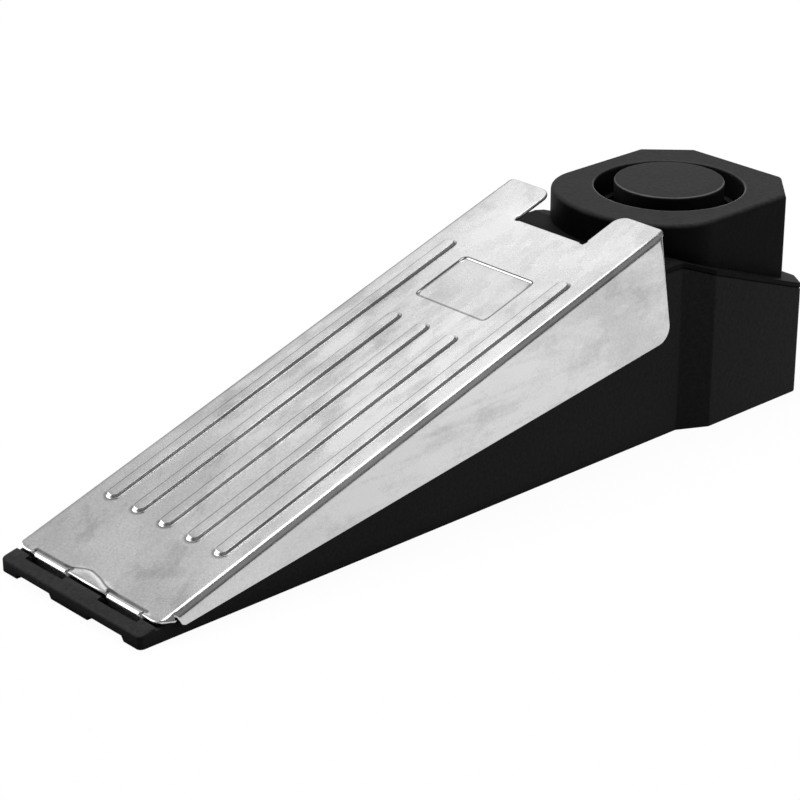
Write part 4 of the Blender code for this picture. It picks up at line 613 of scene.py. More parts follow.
class Recipe:
    """A Geometry Nodes tree with named sizes, which makes one piece and leaves a plain mesh."""

    def __init__(self, name: str, sizes: dict[str, float]) -> None:
        """Starts a tree.

        Args:
            name: the name of the tree and of the piece that it makes.
            sizes: its named sizes.
        """
        self.name = name
        self.sizes = sizes
        tree = bpy.data.node_groups.new(name, "GeometryNodeTree")
        tree.interface.new_socket("Geometry", in_out="INPUT", socket_type="NodeSocketGeometry")
        self.identifiers: dict[str, str] = {}
        for size, value in sizes.items():
            kind = "NodeSocketInt" if isinstance(value, int) else "NodeSocketFloat"
            socket = tree.interface.new_socket(size, in_out="INPUT", socket_type=kind)
            self.identifiers[size] = socket.identifier
        tree.interface.new_socket("Geometry", in_out="OUTPUT", socket_type="NodeSocketGeometry")
        self.bench = Bench(tree)
        self.entry = self.bench.node("NodeGroupInput")
        self.geometry = self.entry.outputs["Geometry"]

    def size(self, name: str) -> Signal:
        """The value of a named size."""
        return Signal(self.bench, self.entry.outputs[name])

    def close(self, geometry: Socket, finish: Finish) -> None:
        """Ends the tree with real geometry and its material.

        Args:
            geometry: what the tree made.
            finish: its material.
        """
        real = self.bench.node("GeometryNodeRealizeInstances", inputs={"Geometry": geometry})
        dressed = self.bench.node("GeometryNodeSetMaterial", inputs={
            "Geometry": real.outputs[0], "Material": finish,
        })
        self.bench.node("NodeGroupOutput", inputs={"Geometry": dressed.outputs[0]})

    def copies(self, points: Socket, finish: Finish, **more: object) -> "Recipe":
        """Ends the tree with a copy of the given mesh on each point.

        Args:
            points: the points.
            finish: the material of the copies.
            more: other inputs of the node that makes the copies.

        Returns:
            The recipe itself.
        """
        made = self.bench.node("GeometryNodeInstanceOnPoints", inputs={
            "Points": points, "Instance": self.geometry, **more,
        })
        self.close(made.outputs[0], finish)
        return self

    def line(self, step: object) -> Socket:
        """As many points as the size "Count" says, each a step from the last."""
        inputs = {"Count": self.size("Count"), "Offset": step}
        return self.bench.node("GeometryNodeMeshLine", {"mode": "OFFSET"}, inputs).outputs[0]

    def row(self, finish: Finish) -> "Recipe":
        """Ends the tree with "Count" copies in a row along X, "Pitch" apart."""
        return self.copies(self.line(self.bench.joined(self.size("Pitch"), 0.0, 0.0)), finish)

    def ring(self, finish: Finish) -> "Recipe":
        """Ends the tree with "Count" copies turned round the upright axis, the first half a step from +X.

        Args:
            finish: the material of the copies.

        Returns:
            The recipe itself.
        """
        index = Signal(self.bench, self.bench.node("GeometryNodeInputIndex").outputs[0])
        turn = self.bench.joined(0.0, 0.0, (index + 0.5) * (2 * math.pi) / self.size("Count"))
        return self.copies(self.line((0, 0, 0)), finish, Rotation=turn)

    def pairs(self, finish: Finish) -> "Recipe":
        """Ends the tree with copies at the corners of a symmetrical four-sided figure.

        Its sizes are "Front Station", "Rear Station", "Front Offset" and "Rear Offset".

        Args:
            finish: the material of the copies.

        Returns:
            The recipe itself.
        """
        bench, size = self.bench, self.size
        square = {"Size X": 2.0, "Size Y": 2.0, "Vertices X": 2, "Vertices Y": 2}
        grid = bench.node("GeometryNodeMeshGrid", inputs=square)
        x, y, _ = bench.split(bench.node("GeometryNodeInputPosition").outputs[0])
        share = (x + 1) / 2
        front, rear = size("Front Station"), size("Rear Station")
        inner, outer = size("Front Offset"), size("Rear Offset")
        spot = bench.joined(front + (rear - front) * share, y * (inner + (outer - inner) * share), 0.0)
        corners = bench.node("GeometryNodeSetPosition", inputs={"Geometry": grid.outputs[0], "Position": spot})
        return self.copies(corners.outputs[0], finish)

    def run(self, mesh: bpy.types.Mesh) -> bpy.types.Object:
        """Runs the tree on a mesh.

        Args:
            mesh: what the tree starts from.

        Returns:
            An object whose mesh is plain and which has no modifier.
        """
        obj = linked(self.name, mesh)
        step = obj.modifiers.new(self.name, "NODES")
        step.node_group = self.bench.tree
        for size, value in self.sizes.items():
            step[self.identifiers[size]] = value
        bpy.context.view_layer.update()
        evaluated = obj.evaluated_get(bpy.context.evaluated_depsgraph_get())
        plain = bpy.data.meshes.new_from_object(evaluated)
        obj.modifiers.clear()
        obj.data = plain
        plain.name = self.name
        return obj


# Shapes

def arc(centre: Point, radius: float, first: float, last: float, steps: int) -> list[Point]:
    """The points of an arc between two angles in degrees."""
    turns = [math.radians(first + (last - first) * step / steps) for step in range(steps + 1)]
    return [(centre[0] + radius * math.cos(a), centre[1] + radius * math.sin(a)) for a in turns]


def rounded(outline: Sequence[Point], radius: float, steps: int = 6) -> list[Point]:
    """Rounds the corners of an outline.

    Args:
        outline: the closed outline.
        radius: the radius of its corners, which the sides next to a corner limit.
        steps: how many steps each corner has.

    Returns:
        The outline with an arc at each corner.
    """
    points = []
    for index, spot in enumerate(outline):
        corner = Vector(spot)
        before = Vector(outline[index - 1]) - corner
        after = Vector(outline[(index + 1) % len(outline)]) - corner
        opening = before.angle(after)
        reach = min(radius / math.tan(opening / 2), before.length / 2, after.length / 2)
        start, end = corner + before.normalized() * reach, corner + after.normalized() * reach
        bisector = (before.normalized() + after.normalized()).normalized()
        centre = corner + bisector * (reach / math.cos(opening / 2))
        for step in range(steps + 1):
            ray = start.lerp(end, step / steps) - centre
            points.append(tuple(centre + ray.normalized() * (start - centre).length))
    return points


def mirrored(outline: Sequence[Point]) -> list[Point]:
    """A plan given for positive Y, completed with its mirror image."""
    return list(outline) + [(x, -y) for x, y in reversed(outline)]


def outward(bm: Shape) -> Shape:
    """Turns every face of a closed shape outward.

    Args:
        bm: the shape.

    Returns:
        The same shape.
    """
    bmesh.ops.recalc_face_normals(bm, faces=bm.faces)
    if bm.calc_volume(signed=True) < 0:
        bmesh.ops.reverse_faces(bm, faces=bm.faces)
    return bm


def loft(rings: Sequence[Sequence[Triple]], capped: bool = False) -> Shape:
    """A closed skin through rings of equally many points.

    Args:
        rings: the rings.
        capped: whether both ends get a face, instead of the last ring being joined to the first.

    Returns:
        The skin.
    """
    bm = bmesh.new()
    loops = [[bm.verts.new(spot) for spot in ring] for ring in rings]
    if capped:
        bm.faces.new(loops[0])
        bm.faces.new(loops[-1])
    for lower, upper in zip(loops, loops[1:] if capped else loops[1:] + loops[:1]):
        for index in range(len(lower)):
            bm.faces.new([lower[index - 1], lower[index], upper[index], upper[index - 1]])
    return outward(bm)


def prism(outline: Sequence[Point], low: float, high: float) -> Shape:
    """A solid with this plan between two heights."""
    return loft([[(x, y, z) for x, y in outline] for z in (low, high)], capped=True)


def side_prism(profile: Sequence[Point], left: float, right: float) -> Shape:
    """A solid with a given side view.

    Args:
        profile: its side view, as pairs of station and height.
        left: its lowest Y.
        right: its highest Y.

    Returns:
        The solid.
    """
    bm = prism(profile, left, right)
    for vert in bm.verts:
        vert.co = Vector((vert.co.x, vert.co.z, vert.co.y))
    return outward(bm)


def turned(profile: Sequence[Point], centre: Point, segments: int = 96) -> Shape:
    """A solid turned about an upright axis.

    Args:
        profile: pairs of radius and height, which end on the axis or close to a ring.
        centre: the axis in plan.
        segments: how many segments a turn has.

    Returns:
        The solid.
    """
    bm = bmesh.new()
    rings = []
    for radius, height in profile:
        circle = arc(centre, radius, 0, 360 * (segments - 1) / segments, segments - 1) if radius else [centre]
        rings.append([bm.verts.new((x, y, height)) for x, y in circle])
    pairs = list(zip(rings, rings[1:]))
    if profile[0][0]:
        pairs.append((rings[-1], rings[0]))
    for lower, upper in pairs:
        for index in range(segments):
            low = [lower[index - 1], lower[index]] if len(lower) > 1 else [lower[0]]
            high = [upper[index], upper[index - 1]] if len(upper) > 1 else [upper[0]]
            bm.faces.new(low + high)
    return outward(bm)


def divided(outline: Sequence[Point], step: float) -> list[Point]:
    """Divides the sides of an outline.

    Args:
        outline: the closed outline.
        step: the longest side that is left.

    Returns:
        The outline with more points.
    """
    points = []
    for index, spot in enumerate(outline):
        start, end = Vector(spot), Vector(outline[(index + 1) % len(outline)])
        count = max(1, math.ceil((end - start).length / step))
        points += [tuple(start.lerp(end, part / count)) for part in range(count)]
    return points


def inset_ring(outline: Sequence[Point], inset: float) -> list[Point]:
    """Draws an outline in, farther at its corners so that its sides stay parallel.

    Args:
        outline: the closed outline.
        inset: how far its sides move.

    Returns:
        The smaller outline.
    """
    area = sum(a[0] * b[1] - b[0] * a[1] for a, b in zip(outline, list(outline[1:]) + [outline[0]]))
    sign = 1 if area > 0 else -1
    ring = []
    for index, spot in enumerate(outline):
        before = (Vector(spot) - Vector(outline[index - 1])).normalized()
        after = (Vector(outline[(index + 1) % len(outline)]) - Vector(spot)).normalized()
        along = (before + after).normalized()
        reach = sign * inset / max(LEAST_MITRE, along.dot(before))
        ring.append((spot[0] - along.y * reach, spot[1] + along.x * reach))
    return ring


def thickened(mesh: bpy.types.Mesh, thickness: float, edge: float, steps: int = 3) -> Shape:
    """A sheet's solid below its upper face, which grows by the edge's radius to a rounded cut edge.

    Args:
        mesh: the upper face.
        thickness: the sheet's thickness.
        edge: the radius of its cut edges.
        steps: how many faces each rounding has.

    Returns:
        The solid.
    """
    bm = bmesh.new()
    bm.from_mesh(mesh)
    bm.normal_update()
    upper = list(bm.verts)
    bm.verts.index_update()
    normals = [vert.normal.copy() for vert in upper]
    faces = [[vert.index for vert in face.verts] for face in bm.faces]
    outs: dict[int, list[Vector]] = {}
    rim = []
    for rim_edge in bm.edges:
        if not rim_edge.is_boundary:
            continue
        loop = rim_edge.link_loops[0]
        start, end = loop.vert, loop.link_loop_next.vert
        out = (end.co - start.co).cross(loop.face.normal).normalized()
        rim.append((start.index, end.index))
        outs.setdefault(start.index, []).append(out)
        outs.setdefault(end.index, []).append(out)
    ways = {}
    for index, pair in outs.items():
        way = (pair[0] + pair[-1]).normalized()
        ways[index] = way / max(LEAST_MITRE, way.dot(pair[0]))
    lower = [bm.verts.new(vert.co - normals[vert.index] * thickness) for vert in upper]
    for face in faces:
        bm.faces.new([lower[index] for index in reversed(face)])
    turns = [math.pi / 2 * step / steps for step in range(1, steps + 1)]
    profile = [(edge * math.sin(a), edge * (1 - math.cos(a))) for a in turns]
    profile += [(out, thickness - deep) for out, deep in reversed(profile)]
    rings = [{index: upper[index] for index in ways}]
    for out, deep in profile:
        rings.append({index: bm.verts.new(upper[index].co + way * out - normals[index] * deep)
                      for index, way in ways.items()})
    rings.append({index: lower[index] for index in ways})
    for high, low in zip(rings, rings[1:]):
        for start, end in rim:
            bm.faces.new([high[end], high[start], low[start], low[end]])
    return outward(bm)


def draped(outline: Sequence[Point], low: Callable[[float], float], high: Callable[[float], float],
           breaks: Sequence[float], hole: tuple[Point, Point]) -> Shape:
    """A solid with this plan whose lower and upper faces follow two height functions.

    Args:
        outline: its plan.
        low: the lower face's height at a station.
        high: the upper face's height at a station.
        breaks: stations where the faces fold.
        hole: lowest and highest corner of an opening through it.

    Returns:
        The solid.
    """
    bm = bmesh.new()
    bm.faces.new([bm.verts.new((x, y, 0)) for x, y in outline])
    first, last = hole
    cuts = [((value, 0, 0), (1, 0, 0)) for value in (*breaks, first[0], last[0])]
    cuts += [((0, value, 0), (0, 1, 0)) for value in (first[1], last[1])]
    for spot, normal in cuts:
        bmesh.ops.bisect_plane(bm, geom=bm.verts[:] + bm.edges[:] + bm.faces[:], plane_co=spot, plane_no=normal)
    inside = []
    for face in bm.faces:
        middle = face.calc_center_median()
        if first[0] < middle.x < last[0] and first[1] < middle.y < last[1]:
            inside.append(face)
    bmesh.ops.delete(bm, geom=inside, context="FACES")
    base = bm.verts[:]
    lifted = bmesh.ops.extrude_face_region(bm, geom=bm.faces[:])["geom"]
    top = [item for item in lifted if isinstance(item, bmesh.types.BMVert)]
    for vert in base:
        vert.co.z = low(vert.co.x)
    for vert in top:
        vert.co.z = high(vert.co.x)
    return outward(bm)


def edged(width: float, height: float, edge: float, steps: int = 3) -> list[Point]:
    """The outline of a rectangle about the origin with rounded corners."""
    x, y = width / 2, height / 2
    return rounded([(-x, -y), (x, -y), (x, y), (-x, y)], edge, steps)


def joined(*shapes: Shape) -> Shape:
    """Joins shapes.

    Args:
        shapes: the shapes, which are used up.

    Returns:
        One shape of them all.
    """
    bm = bmesh.new()
    for shape in shapes:
        mesh = bpy.data.meshes.new("joined")
        shape.to_mesh(mesh)
        shape.free()
        bm.from_mesh(mesh)
        bpy.data.meshes.remove(mesh)
    return bm


def moved(bm: Shape, x: float = 0.0, y: float = 0.0, z: float = 0.0) -> Shape:
    """Moves a shape."""
    bmesh.ops.translate(bm, verts=bm.verts, vec=(x, y, z))
    return bm


def to_mesh(name: str, bm: Shape) -> bpy.types.Mesh:
    """A mesh of a shape.

    Args:
        name: the mesh's name.
        bm: the shape, which is used up.

    Returns:
        The mesh.
    """
    mesh = bpy.data.meshes.new(name)
    bm.to_mesh(mesh)
    bm.free()
    return mesh


class Body(Enum):
    """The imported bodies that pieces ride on."""

    CASE = "case"
    PLATE = "plate"
    DOOR = "door"
    KNOB = "knob"


class SubAssembly:
    """What the sub-assemblies share: turning shapes into pieces that ride on a body."""

    def add(self, name: str, shape: Shape | bpy.types.Object, finish: Finish, body: Body,
            slot: str, replaces: Sequence[str] = (), edge: float = 0.0, crease: float = 35.0,
            station: bool = True) -> bpy.types.Object:
        """Makes one piece.

        Args:
            name: its name.
            shape: its shape, or the object that a recipe made.
            finish: its material.
            body: the body that it rides on.
            slot: the record's material slot; not used.
            replaces: the CAD nodes that it stands for.
            edge: the radius that its sharp edges get.
            crease: the angle in degrees from which an edge is sharp.
            station: whether its X values are stations.

        Returns:
            The piece.
        """
        if isinstance(shape, bpy.types.Object):
            obj = shape
            obj.name = name
        else:
            obj = linked(name, to_mesh(name, shape))
        mesh = obj.data
        if station:
            mesh.transform(Matrix.Translation((TIP, 0, 0)))
        mesh.shade_smooth()
        mesh.set_sharp_from_angle(angle=math.radians(crease))
        if not mesh.materials:
            mesh.materials.append(finish)
        if edge:
            bevel = obj.modifiers.new("edge", "BEVEL")
            bevel.width = edge
            bevel.segments = 3
            bevel.limit_method = "ANGLE"
            bevel.angle_limit = math.radians(crease)
            bevel.harden_normals = True
        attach(obj, body.value)
        if replaces:
            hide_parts(*replaces)
        LOG.info("%s: %d faces on %s", name, len(mesh.polygons), body.value)
        return obj


@dataclass(frozen=True)
class SheetPoint:
    """A point of the pressed sheet, laid out flat, and what gives the sheet's named sizes there."""

    size: Sizes
    up: Signal
    across: Signal


@dataclass
class PressurePlate(SubAssembly):
    """The folded steel plate with its ribs, bare label field, hooks and flaps."""

    angle: float = math.radians(18.02)
    rise: float = 2.10 * MM
    sheet: float = 0.6 * MM
    bend: float = 1.2 * MM
    front: float = 3.28 * MM
    rear: float = 105.15 * MM
    corner: float = 2.6 * MM
    ear: float = 1.6 * MM
    ear_inner: float = 2.2 * MM
    notch_front: float = 96.8 * MM
    notch_width: float = 15.2 * MM
    notch_relief: float = 0.45 * MM
    flap_front: Point = (6.0 * MM, 3.72 * MM)
    flap_toe: Point = (7.2 * MM, 1.73 * MM)
    flap_slope: float = math.radians(8.87)
    flap_lean: float = math.radians(9.2)
    flap_setback: float = 0.9 * MM
    flap_corner: float = 2.8 * MM
    rib_count: int = 5
    rib_pitch: float = 6.4 * MM
    rib_front: float = 17.0 * MM
    rib_rear_long: float = 88.0 * MM
    rib_rear_short: float = 70.1 * MM
    rib_width: float = 2.5 * MM
    rib_flank: float = 0.32 * MM
    rib_near_flank: float = 0.14 * MM
    rib_end_flank: float = 0.8 * MM
    rib_height: float = 0.5 * MM
    rib_crown: float = 0.12
    rib_rings: tuple[float, ...] = (0.2, 0.34, 0.45, 0.54, 0.62, 0.7, 0.76, 0.82, 0.88, 0.94, 1.0, 1.1, 1.35)
    rib_lines: tuple[float, ...] = (0.2, 0.45, 0.62, 0.7, 0.76, 0.82, 0.88, 0.94, 1.0, 1.1, 1.35)
    field_front: float = 74.7 * MM
    field_rear: float = 85.7 * MM
    field_width: float = 15.8 * MM
    field_depth: float = 0.20 * MM
    field_flank: float = 0.32 * MM
    field_corner: float = 0.9 * MM
    field_lines: tuple[float, ...] = (-0.15, 0.1, 0.3, 0.5, 0.7, 0.9, 1.15)
    hook_inner: float = 4.5 * MM
    hook_width: float = 8.5 * MM
    hook_bend: float = 0.62 * MM
    hook_start: float = 3.59 * MM
    hook_straight: float = 1.80 * MM
    hook_foot: float = 1.0 * MM
    hook_relief: float = 0.05 * MM
    swell_height: float = 0.13 * MM
    swell_near: float = 1.0 * MM
    swell_far: float = 2.1 * MM
    swell_skew: float = 0.17
    swell_flank: float = 0.55 * MM
    swell_end: float = 1.4 * MM
    cut_edge: float = 0.24 * MM
    tongue_front: float = 96.3 * MM
    tongue_width: float = 11.0 * MM
    tongue_low: float = 26.8 * MM
    tongue_foot: float = 1.6 * MM
    tongue_lap: float = 1.1 * MM
    tongue_edge: float = 0.1 * MM
    tongue_gap: float = 0.02 * MM
    tongue_bend: Point = (0.2 * MM, 0.25 * MM)
    toe_cut: Point = (0.22 * MM, 0.32 * MM)
    toe_run: float = 0.35 * MM
    column: float = 2.0 * MM
    first_column: float = 0.3 * MM
    fine_column: float = 0.32 * MM
    fine_length: float = 5 * MM
    row: float = 1.6 * MM
    least_row: float = 0.07 * MM
    least_margin: float = 0.1 * MM
    fan_reach: float = 0.75
    fan_lap: float = 0.02 * MM
    # Width of the painted shade lines along the pressed shapes.
    shade_line_width: float = 0.16 * MM
    halo_width: float = 0.34 * MM

    def __post_init__(self) -> None:
        """Works out what follows from the sizes."""
        self.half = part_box("pressure_plate")[1].y
        self.flat = self.half - self.bend
        self.wrap = self.bend * math.pi / 2
        self.hook_turn = math.pi / 2 - self.angle
        self.hook_length = self.hook_bend * (self.hook_turn + math.pi / 2) + self.hook_straight + self.hook_foot

    def along(self, station: float) -> float:
        """Distance up the slope to the point above a station."""
        return station / math.cos(self.angle)

    def unrolled(self, station: float, height: float) -> Point:
        """Lays a point of a flap out flat.

        Args:
            station: its station.
            height: its height.

        Returns:
            Its distances up the slope and across.
        """
        rise = height - self.rise
        up = station * math.cos(self.angle) + rise * math.sin(self.angle)
        off = rise * math.cos(self.angle) - station * math.sin(self.angle)
        if off > -self.bend:
            turn = math.acos(max(-1.0, min(1.0, 1 + min(off, 0.0) / self.bend)))
            return up, self.flat + self.bend * turn
        return up, self.flat + self.wrap - self.bend - off

    def round_bend(self, up: float, across: float) -> Point:
        """Lays a point of the rounded bend out flat.

        Args:
            up: its distance up the slope.
            across: its distance across, in plan.

        Returns:
            Its distances up the slope and across.
        """
        if across <= self.flat:
            return up, across
        return up, self.flat + self.bend * math.asin(min(1.0, (across - self.flat) / self.bend))

    def outline(self) -> list[Point]:
        """The sheet's outline before it is folded.

        Returns:
            Its points, as distances up the slope and across.
        """
        front, rear, notch = self.along(self.front), self.along(self.rear), self.along(self.notch_front)
        start = self.along(self.hook_start)
        inner, outer = self.hook_inner, self.hook_inner + self.hook_width
        relief = self.hook_relief
        half: list[Point] = [
            (front, inner - relief), (start, inner - relief), (start, inner), (start - self.hook_length, inner),
            (start - self.hook_length, outer), (start, outer), (start, outer + relief), (front, outer + relief),
        ]
        corner = arc((front + self.corner, self.half - self.corner), self.corner, 180, 97, 28)
        half += [self.round_bend(*spot) for spot in corner]
        top, toe = Vector(self.flap_front), Vector(self.flap_toe) + Vector((-self.toe_cut[0], self.toe_cut[1]))
        half += [self.unrolled(*top.lerp(toe, step / 8)) for step in range(8)]
        half += self.flap_edge()
        ear = arc((rear - self.ear, self.half - self.ear), self.ear, 60, 0, 8)
        half += [self.round_bend(*spot) for spot in ear]
        side, give = self.notch_width / 2, self.notch_relief
        half += arc((rear - self.ear_inner, side + self.ear_inner), self.ear_inner, 0, -90, 10)
        half += [(notch + 2 * give, side), (notch + give, side + give / 2), (notch - give / 2, side),
                 (notch - give / 2, side - give), (notch, side - 2 * give)]
        return mirrored(half)

    def flap_edge(self) -> list[Point]:
        """The flap's toe, lower edge and rear edge.

        Returns:
            Their points, laid out flat.
        """
        rear_x = self.rear - self.flap_setback
        rear_top = self.rise + math.tan(self.angle) * self.rear
        lean, slope = math.tan(self.flap_lean), math.tan(self.flap_slope)
        toe_x, toe_z = self.flap_toe
        base = toe_z - slope * toe_x
        corner_x = (rear_x + lean * (rear_top - base)) / (1 + lean * slope)
        corner = Vector((corner_x, base + slope * corner_x))
        up = Vector((-lean, 1)).normalized()
        back = Vector((-1, -slope)).normalized()
        opening = up.angle(back)
        reach = self.flap_corner / math.tan(opening / 2)
        centre = corner + (up + back).normalized() * (self.flap_corner / math.sin(opening / 2))
        points = [self.unrolled(toe_x - self.toe_cut[0], toe_z + self.toe_cut[1]),
                  self.unrolled(toe_x + self.toe_run, toe_z + slope * self.toe_run)]
        start, end = corner + back * reach, corner + up * reach
        for step in range(9):
            ray = start.lerp(end, step / 8) - centre
            points.append(self.unrolled(*(centre + ray.normalized() * self.flap_corner)))
        top = end + up * ((rear_top - 0.75 * self.bend - end.y) / up.y)
        points.append(self.unrolled(*top))
        return points

    def columns(self) -> list[float]:
        """Where the sheet is divided along its slope, closer at the front edge, the hooks and the label field.

        Returns:
            Distances up the slope, in order.
        """
        front = self.along(self.front)
        values = list(np.arange(front + self.first_column, front + self.fine_length, self.fine_column))
        values += list(np.arange(values[-1] + self.column, self.along(self.rear) + self.column, self.column))
        start = self.along(self.hook_start)
        bent = [self.hook_bend * self.hook_turn * step / 5 for step in range(6)]
        second = self.hook_bend * self.hook_turn + self.hook_straight
        bent += [second + self.hook_bend * math.pi / 2 * step / 5 for step in range(6)]
        values += [start - value for value in bent]
        for end, sign in ((self.along(self.field_front), 1), (self.along(self.field_rear), -1)):
            values += [end + sign * share * self.field_flank for share in self.field_lines]
        return sorted(values)

    def rows(self) -> list[float]:
        """Where the sheet is divided across, closer at the ribs, the label field and the folds.

        Returns:
            Distances across on the +Y side, in order.
        """
        values = [0.0]
        half = self.rib_width / 2
        for index in range(self.rib_count // 2 + 1):
            for share in self.rib_lines:
                values += [index * self.rib_pitch + half * share, index * self.rib_pitch - half * share]
            values.append(index * self.rib_pitch)
        side = self.field_width / 2
        values += [side - share * self.field_flank for share in self.field_lines]
        values += [self.flat + self.wrap * step / 6 for step in range(7)]
        values += list(np.arange(self.flat + self.wrap + self.row, self.flat + self.wrap + self.half, self.row))
        values += [0.5 * (self.hook_inner + self.hook_width), self.flat - self.row / 2]
        values.sort()
        kept = [0.0]
        for value in values:
            if value - kept[-1] > self.least_row:
                kept.append(value)
        return kept

    def rib_ends(self) -> list[tuple[float, float, int]]:
        """The round ends of the ribs.

        Returns:
            The centre of each, and 1 where it points up the slope or -1 where it points down.
        """
        ends = []
        for index in range(self.rib_count):
            middle = (index - (self.rib_count - 1) / 2) * self.rib_pitch
            long = index in (0, self.rib_count - 1)
            rear = self.along(self.rib_rear_long if long else self.rib_rear_short)
            ends.append((self.along(self.rib_front) + self.rib_width / 2, middle, -1))
            ends.append((rear - self.rib_width / 2, middle, 1))
        return ends

    def spots(self, outline: Sequence[Point]) -> list[Point]:
        """Points inside the outline, dense where the sheet is shaped.

        Args:
            outline: the sheet's outline.

        Returns:
            The points.
        """
        rows = self.rows()
        across = np.array(sorted({-value for value in rows} | set(rows)))
        up = np.array(self.columns())
        grid = np.stack(np.meshgrid(up, across, indexing="ij"), -1).reshape(-1, 2)
        keep = np.ones(len(grid), bool)
        fans = []
        for x, y, way in self.rib_ends():
            dx, dy = grid[:, 0] - x, grid[:, 1] - y
            keep &= ~((np.hypot(dx, dy) < self.fan_reach * self.rib_width) & (dx * way > -self.fan_lap))
            first = -90 if way > 0 else 90
            fans.append((x, y))
            for share in self.rib_rings:
                fans += arc((x, y), self.rib_width / 2 * share, first, first + 180, 12)
        everything = np.concatenate([grid[keep], np.array(fans)])
        ring = np.array(outline)
        after = np.roll(ring, -1, axis=0)
        px, py = everything[:, 0][:, None], everything[:, 1][:, None]
        ax, ay, bx, by = ring[:, 0], ring[:, 1], after[:, 0], after[:, 1]
        crossing = ((ay > py) != (by > py)) & (px < (bx - ax) * (py - ay) / np.where(by == ay, 1, by - ay) + ax)
        inside = crossing.sum(1) % 2 == 1
        span = np.maximum((bx - ax) ** 2 + (by - ay) ** 2, 1e-18)
        share = np.clip(((px - ax) * (bx - ax) + (py - ay) * (by - ay)) / span, 0, 1)
        away = np.hypot(px - ax - share * (bx - ax), py - ay - share * (by - ay)).min(1)
        chosen = everything[inside & (away > self.least_margin)]
        return [tuple(spot) for spot in chosen.tolist()]

    def blank(self) -> bpy.types.Mesh:
        """The flat sheet, divided into triangles.

        Returns:
            Its mesh, whose X is the distance up the slope.
        """
        outline = inset_ring(self.outline(), self.cut_edge)
        points = [Vector(spot) / MM for spot in outline + self.spots(outline)]
        verts, _, faces, *_ = delaunay_2d_cdt(points, [], [list(range(len(outline)))], 1, 1e-5)
        bm = bmesh.new()
        made = [bm.verts.new((co.x * MM, co.y * MM, 0)) for co in verts]
        for face in faces:
            bm.faces.new([made[index] for index in face])
        bmesh.ops.delete(bm, geom=[vert for vert in bm.verts if not vert.link_faces], context="VERTS")
        for face in bm.faces:
            face.normal_update()
        bmesh.ops.reverse_faces(bm, faces=[face for face in bm.faces if face.normal.z < 0])
        return to_mesh("blank", bm)

    def sizes(self) -> dict[str, float]:
        """The named sizes of the pressed sheet.

        Returns:
            The sizes by name, with stations turned to distances up the slope.
        """
        return {
            "Rib Pitch": self.rib_pitch, "Rib Width": self.rib_width, "Rib Flank": self.rib_flank,
            "Rib End Flank": self.rib_end_flank, "Rib Near Flank": self.rib_near_flank,
            "Rib Height": self.rib_height, "Rib Front": self.along(self.rib_front),
            "Rib Rear Long": self.along(self.rib_rear_long), "Rib Rear Short": self.along(self.rib_rear_short),
            "Outermost Rib": float(self.rib_count // 2), "Field Front": self.along(self.field_front),
            "Field Rear": self.along(self.field_rear), "Field Width": self.field_width,
            "Field Depth": self.field_depth, "Field Flank": self.field_flank, "Field Corner": self.field_corner,
            "Swell Height": self.swell_height, "Front": self.along(self.front), "Bend Radius": self.bend,
            "Flat Half Width": self.flat, "Hook Start": self.along(self.hook_start),
            "Hook Bend Radius": self.hook_bend, "Hook Straight": self.hook_straight, "Slope": self.angle,
            "Rise": self.rise,
        }

    def recipe(self, finish: Finish) -> Recipe:
        """The tree that stamps the ribs and the field, turns the hooks and folds the flaps.

        Args:
            finish: the sheet's material.

        Returns:
            The recipe, which starts from the flat sheet.
        """
        recipe = Recipe("pressed_plate", self.sizes())
        bench, size = recipe.bench, recipe.size
        up, across, _ = bench.split(bench.node("GeometryNodeInputPosition").outputs[0])
        side = across.apply("SIGN")
        width = abs(across)
        at = SheetPoint(size, up, across)
        raised = self.ribs(at) - self.field(at) + self.swell(at)

        hook = width > self.hook_inner - self.hook_relief / 2
        hook = hook * (1 - (width > self.hook_inner + self.hook_width + self.hook_relief / 2))
        beyond = (size("Hook Start") - up).at_least(0.0) * hook
        hook_bend = size("Hook Bend Radius")
        reach, drop = self.folded(beyond, [
            (0.0, hook_bend, self.hook_turn), (size("Hook Straight"), hook_bend, math.pi / 2),
        ])
        flap = (width - size("Flat Half Width")).at_least(0.0)
        outward_reach, flap_drop = self.folded(flap, [(0.0, size("Bend Radius"), math.pi / 2)])

        slid = up + beyond - reach
        off = raised - drop - flap_drop
        cosine, sine = size("Slope").apply("COSINE"), size("Slope").apply("SINE")
        place = bench.joined(slid * cosine - off * sine,
                             side * (width.at_most(size("Flat Half Width")) + outward_reach),
                             size("Rise") + slid * sine + off * cosine)
        folded = bench.node("GeometryNodeSetPosition", inputs={"Geometry": recipe.geometry, "Position": place})
        recipe.close(folded.outputs[0], finish)
        return recipe

    @staticmethod
    def nearest_rib(at: SheetPoint) -> tuple[Signal, Signal, Signal]:
        """Where a point lies beside the rib that is nearest to it.

        Args:
            at: the point.

        Returns:
            Its distance aside of the rib's centre line, its distance past the centre of the rib's round end or 0,
            and that centre's distance up the slope at the rib's rear.
        """
        size = at.size
        outermost, radius = size("Outermost Rib"), size("Rib Width") / 2
        index = (at.across / size("Rib Pitch")).apply("ROUND").at_least(-outermost).at_most(outermost)
        longer = size("Rib Rear Long") - size("Rib Rear Short")
        rear = size("Rib Rear Short") + longer * (abs(index) > outermost - 0.5) - radius
        past = (size("Rib Front") + radius - at.up).at_least(at.up - rear).at_least(0.0)
        return at.across - index * size("Rib Pitch"), past, rear

    @staticmethod
    def past_field(at: SheetPoint) -> Signal:
        """Distance from the label field's outline, negative inside it.

        Args:
            at: the point.

        Returns:
            The distance.
        """
        front, rear, corner = at.size("Field Front"), at.size("Field Rear"), at.size("Field Corner")
        over = abs(at.up - (front + rear) / 2) - (rear - front) / 2 + corner
        return past_outline(over, abs(at.across) - at.size("Field Width") / 2 + corner, corner)

